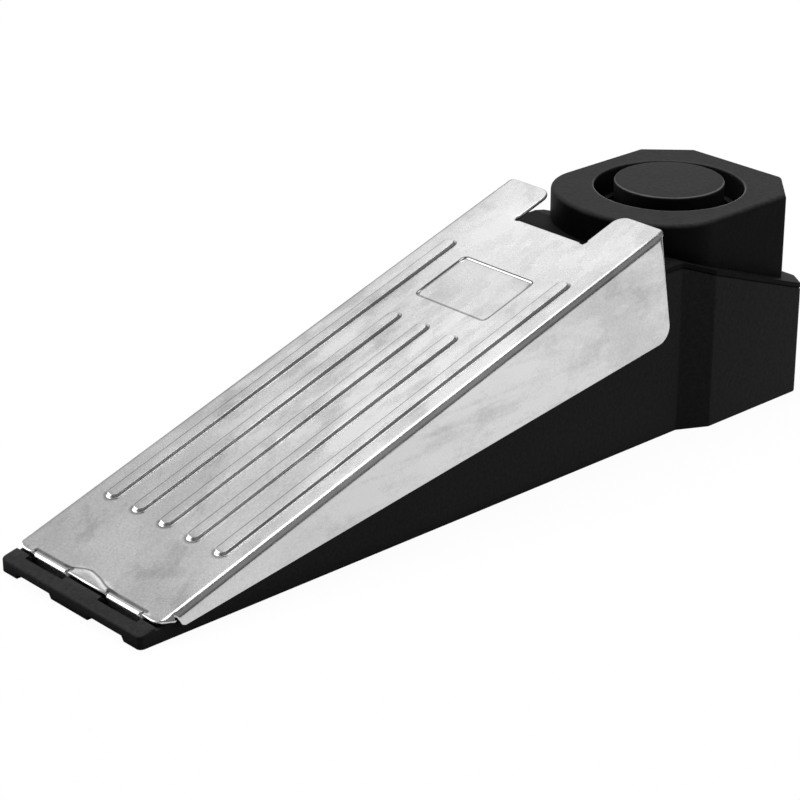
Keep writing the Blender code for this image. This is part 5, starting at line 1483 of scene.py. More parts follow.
    def swell_start(self, at: SheetPoint) -> Signal:
        """Distance up the slope at which the swell starts, which is farther back between the hooks.

        Args:
            at: the point.

        Returns:
            The distance.
        """
        between = 1 - abs(at.across).eased(0.15 * self.hook_inner, 1.25 * self.hook_inner)
        farther = self.swell_far + self.swell_skew * at.across - self.swell_near
        return at.size("Front") + self.swell_near + farther * between

    def ribs(self, at: SheetPoint) -> Signal:
        """Height that the ribs add; their near flanks are steep in their front half.

        Args:
            at: the point.

        Returns:
            The height.
        """
        size = at.size
        aside, past, _ = self.nearest_rib(at)
        radius = size("Rib Width") / 2
        off = hypotenuse(past, aside)
        crown = 1 - self.rib_crown * (off / radius)
        steep = size("Rib Near Flank") - size("Rib Flank")
        front = 1 - at.up.eased(size("Rib Rear Short") * 0.45, size("Rib Rear Short") * 0.8)
        side = size("Rib Flank") + steep * front * (-aside).eased(0.0, radius / 2)
        flank = side + (size("Rib End Flank") - side) * (past / radius)
        return size("Rib Height") * crown * (radius - off).eased(0.0, flank)

    def field(self, at: SheetPoint) -> Signal:
        """Depth to which the label field is pressed."""
        return at.size("Field Depth") * (-self.past_field(at)).eased(0.0, at.size("Field Flank"))

    def swell(self, at: SheetPoint) -> Signal:
        """Height that the low swell along the front edge adds.

        Args:
            at: the point.

        Returns:
            The height.
        """
        outer = self.hook_inner + self.hook_width
        ends = abs(at.across).eased(outer, outer + self.swell_end)
        return at.size("Swell Height") * (1 - ends) * (self.swell_start(at) - at.up).eased(0.0, self.swell_flank)

    @staticmethod
    def folded(length: Signal, bends: Sequence[tuple[Operand, Signal, float]]) -> tuple[Signal, Signal]:
        """Follows a folded strip.

        Args:
            length: distance along the strip, 0 before its first bend.
            bends: straight length before each bend, its radius and its turn in radians.

        Returns:
            How far the strip reaches in its first direction, and how far it drops.
        """
        reach: Operand = 0.0
        drop: Operand = 0.0
        turned_by = 0.0
        left = length
        for straight, radius, turn in bends:
            if isinstance(straight, Signal):
                part = left.at_most(straight)
                reach = reach + part * math.cos(turned_by)
                drop = drop + part * math.sin(turned_by)
                left = (left - straight).at_least(0.0)
            swing = (left / radius).at_most(turn)
            heading = swing + turned_by
            reach = radius * (heading.apply("SINE") - math.sin(turned_by)) + reach
            drop = radius * (math.cos(turned_by) - heading.apply("COSINE")) + drop
            left = (left - radius * turn).at_least(0.0)
            turned_by += turn
        return left * math.cos(turned_by) + reach, left * math.sin(turned_by) + drop

    def painted_shading(self, look: Surface) -> tuple[Signal, Signal]:
        """Painted shade along the foot of every pressed shape, and painted highlights on the cut edges, the rib ends
        and the faces turned down beside the flat top.

        Args:
            look: the steel's node tree.

        Returns:
            The painted shade and the painted highlights, each from 0 to 1.
        """
        x, y, z = look.split(look.place)
        up = (x - TIP) * math.cos(self.angle) + (z - self.rise) * math.sin(self.angle)
        width = abs(y)
        at = SheetPoint(self.sizes().__getitem__, up, y)
        painted_shade = self.rib_painted_shade(at) + self.field_painted_shade(at) + self.hook_painted_shade(at) + self.crease_painted_shade(at)
        top = 1 - width.eased(self.flat, self.flat + 0.5 * self.bend)

        # Painted highlights where the surface faces along the slope, on the cut edges and rib ends, and where it faces
        # down beside the flat top.
        facing = look.node("ShaderNodeTexCoord").outputs["Normal"]
        ends = abs(look.dot(facing, (math.cos(self.angle), 0.0, math.sin(self.angle)))).eased(0.3, 0.6)
        below = (-look.dot(facing, (0.0, 0.0, 1.0))).eased(0.1, 0.4) * (width > self.flat)
        return painted_shade.at_most(0.9) * top, ends.at_least(below)

    def rib_painted_shade(self, at: SheetPoint) -> Signal:
        """Painted shade along the ribs, darker on their far flanks in front and on their near flanks behind, with a
        painted shade round their front ends.

        Args:
            at: the point.

        Returns:
            The painted shade, from 0 to 1.
        """
        half, thin = self.rib_width / 2, self.shade_line_width
        aside, past, rear = self.nearest_rib(at)
        off = hypotenuse(past, aside) - half
        near = (-aside).eased(0.2 * half, 0.7 * half)
        far = aside.eased(-0.1 * half, 0.5 * half)
        late = at.up.eased(rear - 30 * MM, rear - 6 * MM)
        line = off + (self.rib_flank + 0.06 * MM) * far
        halo = past.eased(0.0, 0.4 * half) * (1 - at.up.eased(30 * MM, 34 * MM))
        painted_shade = (1 - abs(line).eased(0.0, thin)) * (0.25 + 0.3 * far * (1 - 0.6 * late) + 0.65 * near * late)
        return painted_shade + (1 - off.eased(0.0, 2 * self.halo_width)) * (off > 0) * halo * 0.5

    def field_painted_shade(self, at: SheetPoint) -> Signal:
        """Painted shade along the label field's outline, darker on its far sides, and a little over the whole field.

        Args:
            at: the point.

        Returns:
            The painted shade, from 0 to 1.
        """
        thin, flank = self.shade_line_width, self.field_flank
        back, side = self.along(self.field_rear), self.field_width / 2
        rim = self.past_field(at)
        far = at.up.eased(back - 2 * flank, back - flank).at_least(at.across.eased(side - 2 * flank, side - flank))
        painted_shade = (1 - abs(rim).eased(0.04 * MM, 1.3 * thin)) * (0.65 + 0.25 * far)
        painted_shade = painted_shade + (1 - abs(rim + flank + 0.05 * MM).eased(0.0, thin)) * 0.55
        return painted_shade + 0.06 * (-rim).eased(flank, 2 * flank)

    def hook_painted_shade(self, at: SheetPoint) -> Signal:
        """Painted shade behind the hooks' bends.

        Args:
            at: the point.

        Returns:
            The painted shade, from 0 to 1.
        """
        middle = self.hook_inner + self.hook_width / 2
        aside = (abs(abs(at.across) - middle) - self.hook_width / 2 - 0.2 * MM).at_least(0.0)
        behind = at.up - self.along(self.hook_start) - 0.5 * MM
        return 0.8 * (1 - hypotenuse(aside, behind).eased(0.15 * MM, 0.55 * MM))

    def crease_painted_shade(self, at: SheetPoint) -> Signal:
        """Painted shade along the wavy crease between the hooks."""
        wave = 1 - abs(at.up - self.swell_start(at)).eased(0.0, self.halo_width)
        return 0.75 * (wave * (1 - abs(at.across).eased(self.hook_inner, 1.5 * self.hook_inner)))

    def tongue(self) -> Shape:
        """The tongue under the notch's edge: fixed under the sheet, bent down, its foot turned to the rear.

        Returns:
            Its shape.
        """
        front, thick, low, lap = self.tongue_front, self.sheet, self.tongue_low, self.tongue_lap
        rear = front + thick
        slope = math.tan(self.angle)
        under = self.rise + slope * front - thick / math.cos(self.angle)
        seat = under - self.tongue_gap
        give, dip = self.tongue_bend
        profile = [
            (rear + self.tongue_foot, low - thick), (rear + self.tongue_foot, low), (rear, low),
            (rear, under - dip), (front - give, seat), (front - lap, seat - slope * lap),
            (front - lap, under - thick - slope * lap), (front - thick, under - thick * 1.3),
            (front, under - 2 * thick), (front, low - thick),
        ]
        return side_prism(profile, -self.tongue_width / 2, self.tongue_width / 2)

    def build(self) -> None:
        """Makes the plate and its tongue."""
        steel = SatinSteel().make(self.painted_shading)
        face = self.recipe(steel).run(self.blank())
        sheet = thickened(face.data, self.sheet, self.cut_edge)
        bpy.data.objects.remove(face)
        self.add("steel_plate", sheet, steel, Body.PLATE, "plate_steel", ["pressure_plate"], crease=80)
        self.add("plate_tongue", self.tongue(), steel, Body.PLATE, "plate_steel", edge=self.tongue_edge)


class Refined:
    """A copy of a CAD node with whole faces and rounded outer edges."""

    sharp: float = math.radians(30)
    flat: float = math.radians(1)
    weld: float = 0.004 * MM

    def __init__(self, node: str) -> None:
        """Copies a node.

        Args:
            node: its name.
        """
        self.bm = bmesh.new()
        self.bm.from_mesh(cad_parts[node].data)
        bmesh.ops.remove_doubles(self.bm, verts=self.bm.verts, dist=self.weld)
        bmesh.ops.dissolve_limit(self.bm, angle_limit=self.flat, verts=self.bm.verts, edges=self.bm.edges)

    def soften(self, radius: float, wanted: Callable[[Vector], bool], steps: int = 3) -> None:
        """Rounds the convex edges that are wanted.

        Args:
            radius: the radius of the edges.
            wanted: says for an edge's middle whether the edge is rounded.
            steps: how many faces the rounding has.
        """
        edges = [
            edge for edge in self.bm.edges
            if len(edge.link_faces) == 2 and edge.is_convex and edge.calc_face_angle(0) > self.sharp
            and wanted((edge.verts[0].co + edge.verts[1].co) / 2)
        ]
        bmesh.ops.bevel(self.bm, geom=edges, offset=radius, segments=steps, profile=0.5, affect="EDGES",
                        clamp_overlap=False)


@dataclass
class MouldedCase(SubAssembly):
    """The tray, the cover with its siren head, the disc in the well and the battery door."""

    edge: float = 0.22 * MM
    skin: float = 0.5 * MM
    flap_cover: float = 1.5 * MM
    rear_corner: float = 9 * MM
    door_edge: float = 0.15 * MM
    door_face: float = 0.1 * MM
    disc_radius: float = 9.16 * MM
    disc_edge: float = 0.28 * MM
    disc_fall: float = 0.15 * MM
    disc_crown: float = 0.18 * MM
    disc_wall: float = 1.5 * MM
    disc_roof: float = 1.6 * MM
    # How far in from the disc's edge and down from its top the painted rim highlight lies.
    disc_highlight_inset: Point = (0.04 * MM, 0.1 * MM)
    disc_skirt: float = 5.2 * MM
    foot_gap: float = 0.1 * MM
    foot_width: float = 1.1 * MM
    foot_height: float = 1.2 * MM
    spoke_count: int = 4
    spoke_width: float = 2.4 * MM
    spoke_corner: float = 0.2 * MM
    spoke_heights: tuple[float, float] = (0.2 * MM, 1.0 * MM)

    def __post_init__(self) -> None:
        """Reads the places of the moulded parts from the frame."""
        low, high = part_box("siren_cap")
        self.well = (low + high) / 2
        self.well_radius = (high.x - low.x) / 2

    def build(self) -> None:
        """Makes the moulded parts."""
        self.case()
        self.disc()
        self.door()

    def case(self) -> None:
        """The tray with softened outer edges."""
        shell = Refined("lower_case")
        low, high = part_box("lower_case")
        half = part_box("pressure_plate")[1].y - self.flap_cover

        def outside(spot: Vector) -> bool:
            """Whether an edge lies on the case's outer skin."""
            corner = spot.x > high.x - self.rear_corner and abs(spot.y) > high.y - self.rear_corner
            return abs(spot.y) > half or spot.x < low.x + self.skin or spot.x > high.x - self.skin or corner

        shell.soften(self.edge, outside)
        self.add("case_tray", shell.bm, MouldedPlastic("case_black").make(), Body.CASE, "case_plastic",
                 ["lower_case"], station=False)

    def disc(self) -> None:
        """The siren's disc with its skirt, foot ring and spokes."""
        low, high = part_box("siren_cap")
        top, foot, centre = high.z, low.z, (self.well.x - TIP, 0)
        # The disc's rim gets a painted highlight, and the disc's sides get painted shade.
        rim = (self.well.x, self.disc_radius - self.disc_highlight_inset[0], top - self.disc_highlight_inset[1])
        plastic = MouldedPlastic("disc_black", depth=0.04 * MM, rim=rim).make()
        # The spokes at the foot of the well get a darker copy of the plastic: painted shade.
        shaded = MouldedPlastic("spoke_painted_shade", (0.006, 0.006, 0.006), 0.7, shine=0.0).make()
        radius, edge, roof = self.disc_radius, self.disc_edge, top - self.disc_roof
        inner = radius - self.disc_wall
        profile = [(0, roof), (inner, roof), (inner, foot), (radius, foot), (radius, top - self.disc_skirt)]
        profile += arc((radius - edge, top - self.disc_fall - edge), edge, 85, 0, 6)[::-1]
        profile += [(share * radius, top - self.disc_crown * share ** 4) for share in (0.9, 0.75, 0.5, 0.25)]
        cup = turned(profile + [(0, top)], centre)
        outer = self.well_radius - self.foot_gap
        width, height = outer - self.foot_width, foot + self.foot_height
        ring = turned([(width, foot), (outer, foot), (outer, height), (width, height)], centre)
        self.add("siren_disc", joined(cup, ring), plastic, Body.CASE, "cap_plastic", ["siren_cap"])
        under, over = self.spoke_heights
        arm = moved(prism(edged(outer - inner, self.spoke_width, self.spoke_corner), foot + under, foot + over),
                    x=(outer + inner) / 2)
        spokes = Recipe("siren_spokes", {"Count": self.spoke_count}).ring(shaded).run(to_mesh("arm", arm))
        spokes.data.transform(Matrix.Translation((self.well.x, 0, 0)))
        self.add("siren_spokes", spokes, shaded, Body.CASE, "cap_plastic", station=False)

    def door(self) -> None:
        """The battery door."""
        panel = Refined("battery_door")
        panel.soften(self.door_edge, lambda spot: spot.z < self.door_face, steps=2)
        self.add("door_panel", panel.bm, MouldedPlastic("door_black").make(), Body.DOOR, "door_plastic",
                 ["battery_door"], station=False)


@dataclass
class Cover(SubAssembly):
    """The cover over the tray: the deck, the shelf, the ledge with its thin flange, and the siren head."""

    plate: PressurePlate
    press_angle: float = math.radians(1.2)
    deck_gap: float = 0.45 * MM
    hinge: float = 3.46 * MM
    front: float = 13.3 * MM
    shelf_front: float = 92.29 * MM
    shelf_drop: float = 5.32 * MM
    ridge_from_end: float = 34.5 * MM
    ledge_angle: float = math.radians(20.15)
    flange: float = 0.78 * MM
    flange_edge: float = 0.26 * MM
    lip: float = 1.6 * MM
    lip_setback: float = 2 * MM
    shoulder: float = 2.7 * MM
    transition: Point = (34.7 * MM, 29.6 * MM)
    chamfer: float = 8.0 * MM
    corner: float = 0.9 * MM
    wall: float = 2.3 * MM
    head_rear: float = 2.7 * MM
    head_length: float = 36.6 * MM
    head_nose: float = 11.8 * MM
    head_inset: float = 0.33 * MM
    head_chamfer: float = 6.65 * MM
    head_edge: float = 0.7 * MM
    head_edge_foot: float = 0.1 * MM
    head_wall: float = 1.8 * MM
    head_roof: float = 2.0 * MM
    arc_steps: int = 8
    nose_steps: int = 48
    rim_edge: float = 0.25 * MM
    rim_flat: float = 0.12 * MM
    well_from_end: float = 19.95 * MM
    well_rim: float = 3.92 * MM
    well_floor: float = 6.62 * MM
    well_lip: float = 1.5 * MM
    well_ledge: float = 0.9 * MM
    well_wall: float = 1.2 * MM
    slot: tuple[Point, Point] = ((95.0 * MM, -5.8 * MM), (97.8 * MM, 5.8 * MM))
    fineness: float = 1.1 * MM

    def __post_init__(self) -> None:
        """Works out what follows from the sizes and the frame."""
        self.head_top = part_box("upper_housing")[1].z
        self.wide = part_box("lower_case")[1].y
        self.side = self.wide - self.shoulder
        self.shelf = self.head_top - self.shelf_drop
        self.ridge = LENGTH - self.ridge_from_end
        self.well = LENGTH - self.well_from_end
        self.well_radius = self.side - self.head_inset - self.well_rim

    def top(self, station: float) -> float:
        """Height of the cover's upper face.

        Args:
            station: where.

        Returns:
            The height of the ledge, the shelf or the deck.
        """
        if station > self.ridge:
            return self.shelf - math.tan(self.ledge_angle) * (station - self.ridge)
        plate = self.plate
        underside = plate.rise + math.tan(plate.angle) * station - plate.sheet / math.cos(plate.angle)
        return min(underside - self.deck_gap - math.tan(self.press_angle) * (station - self.hinge), self.shelf)

    def plan(self, inset: float = 0.0, front: float = 0.0) -> list[Point]:
        """The cover's plan.

        Args:
            inset: how far it is drawn in.
            front: the station of its front edge, or 0 for the cover's own.

        Returns:
            Its outline.
        """
        half = [
            (front or self.front, self.side - inset),
            (LENGTH - self.transition[0], self.side - inset),
            (LENGTH - self.transition[1], self.wide - inset),
            (LENGTH - self.chamfer - inset / 2, self.wide - inset),
            (LENGTH - inset, self.wide - self.chamfer - inset / 2),
        ]
        return rounded(mirrored(half), self.corner)

    def head_plan(self) -> list[Point]:
        """The siren head's plan: an oval nose, straight sides and 45 degree rear corners.

        Returns:
            Its outline.
        """
        half = self.side - self.head_inset
        rear = LENGTH - self.head_rear
        nose = rear - self.head_length + self.head_nose
        side = [(nose, half), (rear - self.head_chamfer, half), (rear, half - self.head_chamfer)]
        first = self.arc_steps + 1
        corners = rounded(mirrored(side), self.corner, self.arc_steps)[first:-first]
        turns = [math.radians(90 + 180 * step / self.nose_steps) for step in range(self.nose_steps + 1)]
        oval = [(nose + self.head_nose * math.cos(a), half * math.sin(a)) for a in turns]
        return divided(corners + oval[::-1], self.fineness)

    def head(self) -> Shape:
        """The hollow head round its well.

        Returns:
            Its closed skin.
        """
        outline = self.head_plan()
        top, edge, rim, well = self.head_top, self.head_edge, self.rim_edge, self.well_radius
        floor, roof = top - self.well_floor, top - self.head_roof
        foot = [self.top(x) - self.flange / 2 for x, _ in outline]

        def ring(inset: float, height: float) -> list[Triple]:
            """The outline at a height."""
            return [(x, y, height) for x, y in inset_ring(outline, inset)]

        def circle(radius: float, height: float) -> list[Triple]:
            """A ring round the well, with a point towards each of the outline's."""
            turns = [math.atan2(y, x - self.well) for x, y in outline]
            return [(self.well + radius * math.cos(a), radius * math.sin(a), height) for a in turns]

        quarter = [math.pi / 2 * step / 6 for step in range(7)]
        rings = [[(x, y, z) for (x, y), z in zip(outline, foot)], ring(0, top - edge - self.head_edge_foot)]
        rings += [ring(edge * (1 - math.cos(a)), top - edge + edge * math.sin(a)) for a in quarter]
        rings += [ring(edge + self.rim_flat, top), circle(well + rim + self.rim_flat, top)]
        rings += [circle(well + rim - rim * math.sin(a), top - rim + rim * math.cos(a)) for a in quarter]
        inner, outer, ledge = well - self.well_lip, well + self.well_wall, floor + self.well_ledge
        rings += [circle(well, ledge), circle(inner, ledge), circle(inner, floor), circle(outer, floor),
                  circle(outer, roof), ring(self.head_wall, roof)]
        rings.append([(x, y, z) for (x, y), z in zip(inset_ring(outline, self.head_wall), foot)])
        return loft(rings)

    def build(self) -> None:
        """Makes the cover and its head as one piece each."""
        breaks = (self.shelf_front, self.ridge)
        # The rim round the well gets a painted highlight, and all of the cover below the head's top gets painted
        # shade.
        rim = (TIP + self.well, self.well_radius + self.rim_flat, self.head_top)
        plastic = MouldedPlastic("cover_black", rim=rim).make()
        slab = draped(self.plan(), lambda x: self.top(x) - self.flange, self.top, breaks, self.slot)
        self.add("cover_deck", slab, plastic, Body.CASE, "housing_plastic", ["upper_housing"],
                 edge=self.flange_edge)
        lip = draped(self.plan(self.wall, self.front + self.lip_setback), lambda x: self.top(x) - self.lip,
                     lambda x: self.top(x) - self.flange / 2, breaks, self.slot)
        self.add("cover_lip", lip, plastic, Body.CASE, "housing_plastic")
        self.add("siren_head", self.head(), plastic, Body.CASE, "housing_plastic", crease=60)


@dataclass
class Fastenings(SubAssembly):
    """The case screws, the grip pads and the switch's knob."""

    head_radius: float = 2.3 * MM
    head_height: float = 1.6 * MM
    shank_radius: float = 1.1 * MM
    recess_width: float = 0.62 * MM
    recess_length: float = 2.6 * MM
    recess_depth: float = 0.8 * MM
    recess_rim: float = 1.25
    recess_taper: float = 0.7
    head_edge: float = 0.55 * MM
    point_length: float = 1.2 * MM
    point_share: float = 0.3
    strip_pitch: float = 1.6 * MM
    strip_ridge: float = 0.9 * MM
    pad_pitch: float = 1.4 * MM
    pad_ridge: float = 0.8 * MM
    ridge_corner: float = 0.25 * MM
    ridge_share: float = 0.6
    base_corner: float = 0.5 * MM
    base_share: float = 0.4
    base_edge: float = 0.05 * MM
    knob_corner: float = 0.35 * MM
    knob_edge: float = 0.12 * MM
    knob_cut: float = 0.3 * MM
    knob_ridges: int = 4
    knob_pitch: float = 0.62 * MM
    knob_ridge: Point = (0.3 * MM, 0.45 * MM)
    knob_ridge_share: float = 0.86
    knob_ridge_corner: float = 0.12 * MM
    knob_ridge_sink: float = 0.2 * MM

    def build(self) -> None:
        """Makes the fastenings and pads."""
        self.screws()
        rubber = Rubber("grip_rubber").make()
        for index in (1, 2):
            self.pad(f"grip_strip_{index}", (f"grip_ridges_{index}", f"grip_base_{index}"), rubber,
                     self.strip_pitch, self.strip_ridge)
        self.pad("rear_grip_pad", ("pad_ridges", "pad_base"), Rubber("pad_rubber").make(),
                 self.pad_pitch, self.pad_ridge)
        self.knob()

    def screw_mesh(self, low: float, high: float) -> bpy.types.Mesh:
        """A pan head screw with a cross recess, head down, about the origin in plan.

        Args:
            low: the height of its head's face.
            high: the height of its point.

        Returns:
            Its mesh.
        """
        radius, shank, edge = self.head_radius, self.shank_radius, self.head_edge
        back = low + self.head_height
        half, arm = self.recess_width / 2, self.recess_length / 2
        cross = [(half, arm), (half, half), (arm, half), (arm, -half), (half, -half), (half, -arm)]
        cross += [(-x, -y) for x, y in cross]
        reach = arm * self.recess_rim
        rim = [(reach * math.cos(math.atan2(y, x)), reach * math.sin(math.atan2(y, x))) for x, y in cross]
        taper, bottom = self.recess_taper, low + self.recess_depth
        rings = [[(x * taper, y * taper, bottom) for x, y in cross], [(x, y, low) for x, y in cross],
                 [(x, y, low) for x, y in rim]]
        profile = [(radius - edge + edge * math.sin(a), low + edge - edge * math.cos(a))
                   for a in (0.0, 0.4, 0.8, 1.2, math.pi / 2)]
        profile += [(radius, back), (shank, back), (shank, high - self.point_length),
                    (shank * self.point_share, high)]
        rings += [[(r * x / reach, r * y / reach, z) for x, y in rim] for r, z in profile]
        return to_mesh("screw", loft(rings, capped=True))

    def screws(self) -> None:
        """The four case screws."""
        low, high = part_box("case_screw_2")
        rear_low, rear_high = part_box("case_screw_4")
        zinc = BrightMetal("zinc_plate", NICKEL, 0.3).make()
        recipe = Recipe("case_screws", {
            "Front Station": (low.x + high.x) / 2, "Rear Station": (rear_low.x + rear_high.x) / 2,
            "Front Offset": (low.y + high.y) / 2, "Rear Offset": (rear_low.y + rear_high.y) / 2,
        })
        made = recipe.pairs(zinc).run(self.screw_mesh(low.z, high.z))
        self.add("case_screws", made, zinc, Body.CASE, "screw_metal",
                 [f"case_screw_{index}" for index in range(1, 5)], station=False)

    def pad(self, node: str, names: tuple[str, str], rubber: Finish, pitch: float,
            ridge_width: float) -> None:
        """A rubber pad with ridges across.

        Args:
            node: the CAD node that it stands for.
            names: the names of its ridges and of its base.
            rubber: its material.
            pitch: the pitch of its ridges.
            ridge_width: the width of a ridge.
        """
        low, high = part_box(node)
        length, width, height = high.x - low.x, high.y - low.y, high.z - low.z
        across = (low.y + high.y) / 2
        count = int(length / pitch)
        ridge = prism(edged(ridge_width, width, self.ridge_corner), low.z, low.z + self.ridge_share * height)
        moved(ridge, low.x + (length - (count - 1) * pitch) / 2, across)
        made = Recipe(names[0], {"Count": count, "Pitch": pitch}).row(rubber).run(to_mesh("ridge", ridge))
        self.add(names[0], made, rubber, Body.CASE, "grip_rubber", station=False)
        base = prism(edged(length, width, self.base_corner), low.z + self.base_share * height, high.z)
        moved(base, (low.x + high.x) / 2, across)
        self.add(names[1], base, rubber, Body.CASE, "grip_rubber", [node], edge=self.base_edge, station=False)

    def knob(self) -> None:
        """The switch's knob with its ridges."""
        low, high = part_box("power_switch_knob")
        plastic = MouldedPlastic("knob_black", (0.03, 0.03, 0.031), 0.42).make()
        width, tall = high.y - low.y, high.z - low.z
        middle = (low + high) / 2
        quarter = math.pi / 2
        body = prism(edged(width, tall, self.knob_corner), 0, high.x - low.x - self.knob_cut)
        upright = Matrix.Rotation(quarter, 4, "Y") @ Matrix.Rotation(quarter, 4, "Z")
        bmesh.ops.transform(body, matrix=upright, verts=body.verts)
        moved(body, low.x, middle.y, middle.z)
        self.add("knob_body", body, plastic, Body.KNOB, "knob_plastic", ["power_switch_knob"], edge=self.knob_edge,
                 station=False)
        thick, proud = self.knob_ridge
        ridge = prism(edged(tall * self.knob_ridge_share, thick, self.knob_ridge_corner), 0, proud)
        bmesh.ops.transform(ridge, matrix=Matrix.Rotation(quarter, 4, "X"), verts=ridge.verts)
        recipe = Recipe("knob_ridges", {"Count": self.knob_ridges, "Pitch": self.knob_pitch})
        made = recipe.row(plastic).run(to_mesh("ridge", ridge))
        made.data.transform(Matrix.Rotation(quarter, 4, "Z"))
        spots = np.array([vert.co for vert in made.data.vertices])
        centre = Vector((spots.min(0) + spots.max(0)) / 2)
        place = Vector((high.x - self.knob_ridge_sink, middle.y, middle.z))
        made.data.transform(Matrix.Translation(place - centre))
        self.add("knob_ridges", made, plastic, Body.KNOB, "knob_plastic", station=False)


@dataclass
class InnerParts:
    """Dresses the CAD nodes that stay as they are, and gives the return spring a mesh of its own."""

    spring_keep: float = 0.64
    battery_band: float = 0.24

    def finishes(self) -> dict[str, object]:
        """Chooses a finish for each node that stays.

        Returns:
            The finishes, by the node's name.
        """
        low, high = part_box("battery")
        band = (high.x - self.battery_band * (high.x - low.x), high.x)
        black, epoxy = (0.02, 0.02, 0.02), (0.012, 0.012, 0.012)
        found = {
            "battery": Sleeve("battery_sleeve", (0.03, 0.05, 0.11), (0.5, 0.5, 0.5), *band),
            "snap_connector": MouldedPlastic("connector_black", black, 0.6),
            "battery_lead_red": Sleeve("lead_red", (0.5, 0.01, 0.01)),
            "battery_lead_black": Sleeve("lead_black", epoxy),
            "circuit_board": Laminate("board"),
            "boost_coil": Grainy("coil_ferrite", (0.05, 0.05, 0.055), (0.12, 0.12, 0.13)),
            "capacitor": Sleeve("capacitor_sleeve", (0.02, 0.03, 0.08)),
            "contact_leaf": BrightMetal("leaf_brass", BRASS, 0.3, (0.1, 1, 1)),
            "trigger_plunger": MouldedPlastic("plunger_black", black, 0.45),
            "return_spring": BrightMetal("spring_wire", (0.6, 0.6, 0.62), 0.3),
            "sound_chamber": MouldedPlastic("chamber_black", black, 0.5),
            "piezo_plate": BrightMetal("piezo_brass", BRASS, 0.35),
            "piezo_ceramic": Grainy("piezo_silver", (0.80, 0.78, 0.72), (0.55, 0.54, 0.5), 0.5),
            "power_switch_body": BrightMetal("switch_tin", NICKEL, 0.36),
        }
        for index in (1, 2):
            found[f"piezo_lead_{index}"] = Sleeve(f"lead_yellow_{index}", (0.6, 0.42, 0.02))
            found[f"switch_lead_{index}"] = Sleeve(f"lead_white_{index}", (0.7, 0.7, 0.68))
            found[f"resistor_{index}"] = Sleeve(f"resistor_tan_{index}", (0.55, 0.4, 0.22), roughness=0.45)
            found[f"board_screw_{index}"] = BrightMetal(f"board_screw_zinc_{index}", NICKEL, 0.32)
        for pole in ("positive", "negative"):
            found[f"battery_terminal_{pole}"] = BrightMetal(f"terminal_{pole}", NICKEL, 0.24)
        for part in ("bracket", "stud"):
            found[f"contact_{part}"] = BrightMetal(f"{part}_brass", BRASS, 0.3)
        for node, name in (("driver_chip", "chip_epoxy"), ("transistor", "transistor_epoxy")):
            found[node] = MouldedPlastic(name, epoxy, 0.5, 0.15 * MM)
        return found

    def build(self) -> None:
        """Puts each finish on its node, and gives the spring a mesh of its own."""
        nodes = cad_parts
        for node, finish in self.finishes().items():
            made = finish.make()
            mesh = nodes[node].data
            if mesh.materials:
                mesh.materials[0] = made
            else:
                mesh.materials.append(made)
            LOG.info("%s: %s", node, made.name)
        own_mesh(nodes["return_spring"])


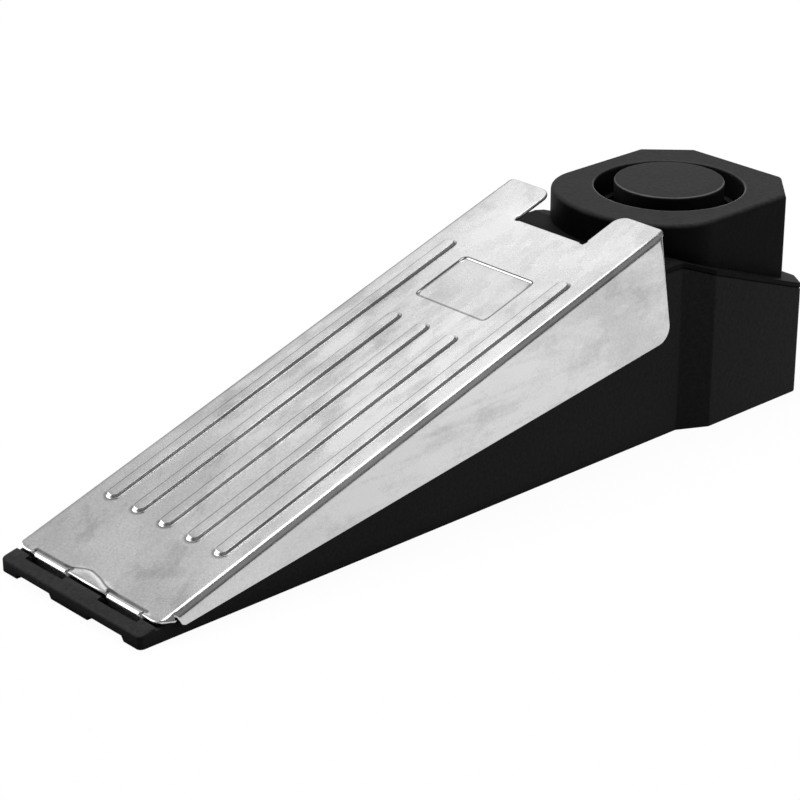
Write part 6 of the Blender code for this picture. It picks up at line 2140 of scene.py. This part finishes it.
class Studio:
    """The white floor, the soft lights and the camera at the photograph's angle."""

    camera_spot: Vector = Vector((-272.14, -288.14, 186.02)) * MM
    camera_yaw: float = math.radians(47.499)
    camera_pitch: float = math.radians(-23.796)
    focal_length: float = 123.5
    clip: Point = (0.01, 50.0)
    sky_strength: float = 0.06
    dim_glow: float = 0.07
    near_glow: float = 0.15
    far_glow: float = 0.30
    soft_boxes: tuple[tuple[Point, Point, float], ...] = (
        ((50, 40), (9, 25), 0.62), ((74, 72), (8, 15), 2.6), ((121, 18), (18, 34), 2.2),
    )
    floor_reach: float = 4.0
    floor_height: float = -0.02 * MM
    floor_bounce: float = 0.15
    floor_white: Colour = (0.95, 0.95, 0.95)
    floor_seen: float = 0.96
    floor_mirrored: float = 0.62
    floor_mirrored_rear: float = 0.08

    @staticmethod
    def direction(azimuth: float, elevation: float) -> Triple:
        """The direction of an azimuth and an elevation in degrees."""
        a, e = math.radians(azimuth), math.radians(elevation)
        return math.cos(e) * math.cos(a), math.cos(e) * math.sin(a), math.sin(e)

    def world(self) -> None:
        """A sky that is white where it is seen, and whose mirror image is a dim room with soft boxes."""
        world = bpy.data.worlds.new("studio")
        bpy.context.scene.world = world
        world.use_nodes = True
        bench = Bench(world.node_tree)
        sky = world.node_tree.nodes["Background"]
        sky.inputs["Color"].default_value = (1, 1, 1, 1)
        camera, glossy = bench.rays("Camera", "Glossy")
        heading = bench.node("ShaderNodeTexCoord").outputs["Generated"]
        _, far, height = bench.split(heading)
        glow = self.dim_glow + self.near_glow * (1 - far.eased(-0.35, 0.05)) * height.eased(0.15, 0.6)
        glow = glow + self.far_glow * far.eased(0.0, 0.35)
        for (azimuth, elevation), (inner, outer), strength in self.soft_boxes:
            towards = bench.dot(heading, self.direction(azimuth, elevation))
            glow = glow + strength * towards.eased(math.cos(math.radians(outer)), math.cos(math.radians(inner)))
        plain = self.sky_strength * (1 - camera) * (1 - glossy)
        bench.feed(sky.inputs["Strength"], plain + camera + glossy * glow)

    def floor(self) -> None:
        """A wide floor that keeps a faint shadow and doesn't glow under the object."""
        bm = bmesh.new()
        reach = self.floor_reach
        corners = ((-reach, -reach), (reach, -reach), (reach, reach), (-reach, reach))
        bm.faces.new([bm.verts.new((x, y, self.floor_height)) for x, y in corners])
        obj = linked("floor", to_mesh("floor", bm))
        grey = (self.floor_bounce,) * 3
        look = Surface("floor_paper", grey, 0.9, 0.0, 0.0)
        glow = look.node("ShaderNodeEmission", None, {"Color": (1.0, 1.0, 1.0), "Strength": 1.0})
        camera, glossy, through = look.rays("Camera", "Glossy", "Transmission")
        look.wear(base_color=look.blend(camera, grey, self.floor_white))
        x, y, _ = look.split(look.place)
        beside = abs(x).eased(LENGTH / 2, LENGTH / 2 + 3 * MM)
        beside = beside.at_least(abs(y).eased(CAD_BOX[1].y - 5 * MM, CAD_BOX[1].y))
        share = (camera * self.floor_seen).at_least(through * self.floor_seen)
        mirrored_share = self.floor_mirrored + self.floor_mirrored_rear * x.eased(-20 * MM, 50 * MM)
        share = share.at_least(glossy * beside * mirrored_share)
        mix = look.node("ShaderNodeMixShader", None, {0: share, 1: look.shader.outputs[0], 2: glow.outputs[0]})
        look.feed(look.tree.nodes["Material Output"].inputs["Surface"], mix.outputs[0])
        obj.data.materials.append(look.material)

    @staticmethod
    def lamp(name: str, spot: Triple, aim: Triple, size: float, power: float) -> None:
        """A square soft light, whose mirror image the sky's soft boxes stand for.

        Args:
            name: its name.
            spot: where it hangs.
            aim: the point that it faces.
            size: its side.
            power: its power in watts.
        """
        data = bpy.data.lights.new(name, "AREA")
        data.size = size
        data.energy = power
        obj = linked(name, data)
        obj.location = spot
        obj.rotation_euler = (Vector(aim) - Vector(spot)).to_track_quat("-Z", "Y").to_euler()
        obj.visible_glossy = False

    def camera(self) -> None:
        """The camera at the photograph's angle."""
        data = bpy.data.cameras.new("camera")
        data.lens = self.focal_length
        data.clip_start, data.clip_end = self.clip
        obj = linked("camera", data)
        forward = Vector((math.cos(self.camera_pitch) * math.cos(self.camera_yaw),
                          math.cos(self.camera_pitch) * math.sin(self.camera_yaw), math.sin(self.camera_pitch)))
        obj.location = self.camera_spot
        obj.rotation_euler = forward.to_track_quat("-Z", "Y").to_euler()
        bpy.context.scene.camera = obj

    def build(self) -> None:
        """Sets up the stage."""
        bpy.context.scene.view_settings.view_transform = "Standard"
        self.world()
        self.floor()
        self.lamp("top_light", (0.10, 0.15, 0.75), (0, 0, 0), 0.6, 6.8)
        self.lamp("side_light", (0.53, -0.45, 0.40), (0.02, 0, 0.02), 0.4, 1.3)
        self.camera()


def main() -> None:
    """Builds and dresses the alarm."""
    logging.basicConfig(level=logging.INFO, format="%(message)s")
    Studio().build()
    plate = PressurePlate()
    plate.build()
    MouldedCase().build()
    Cover(plate).build()
    Fastenings().build()
    InnerParts().build()


if __name__ == "__main__":
    main()
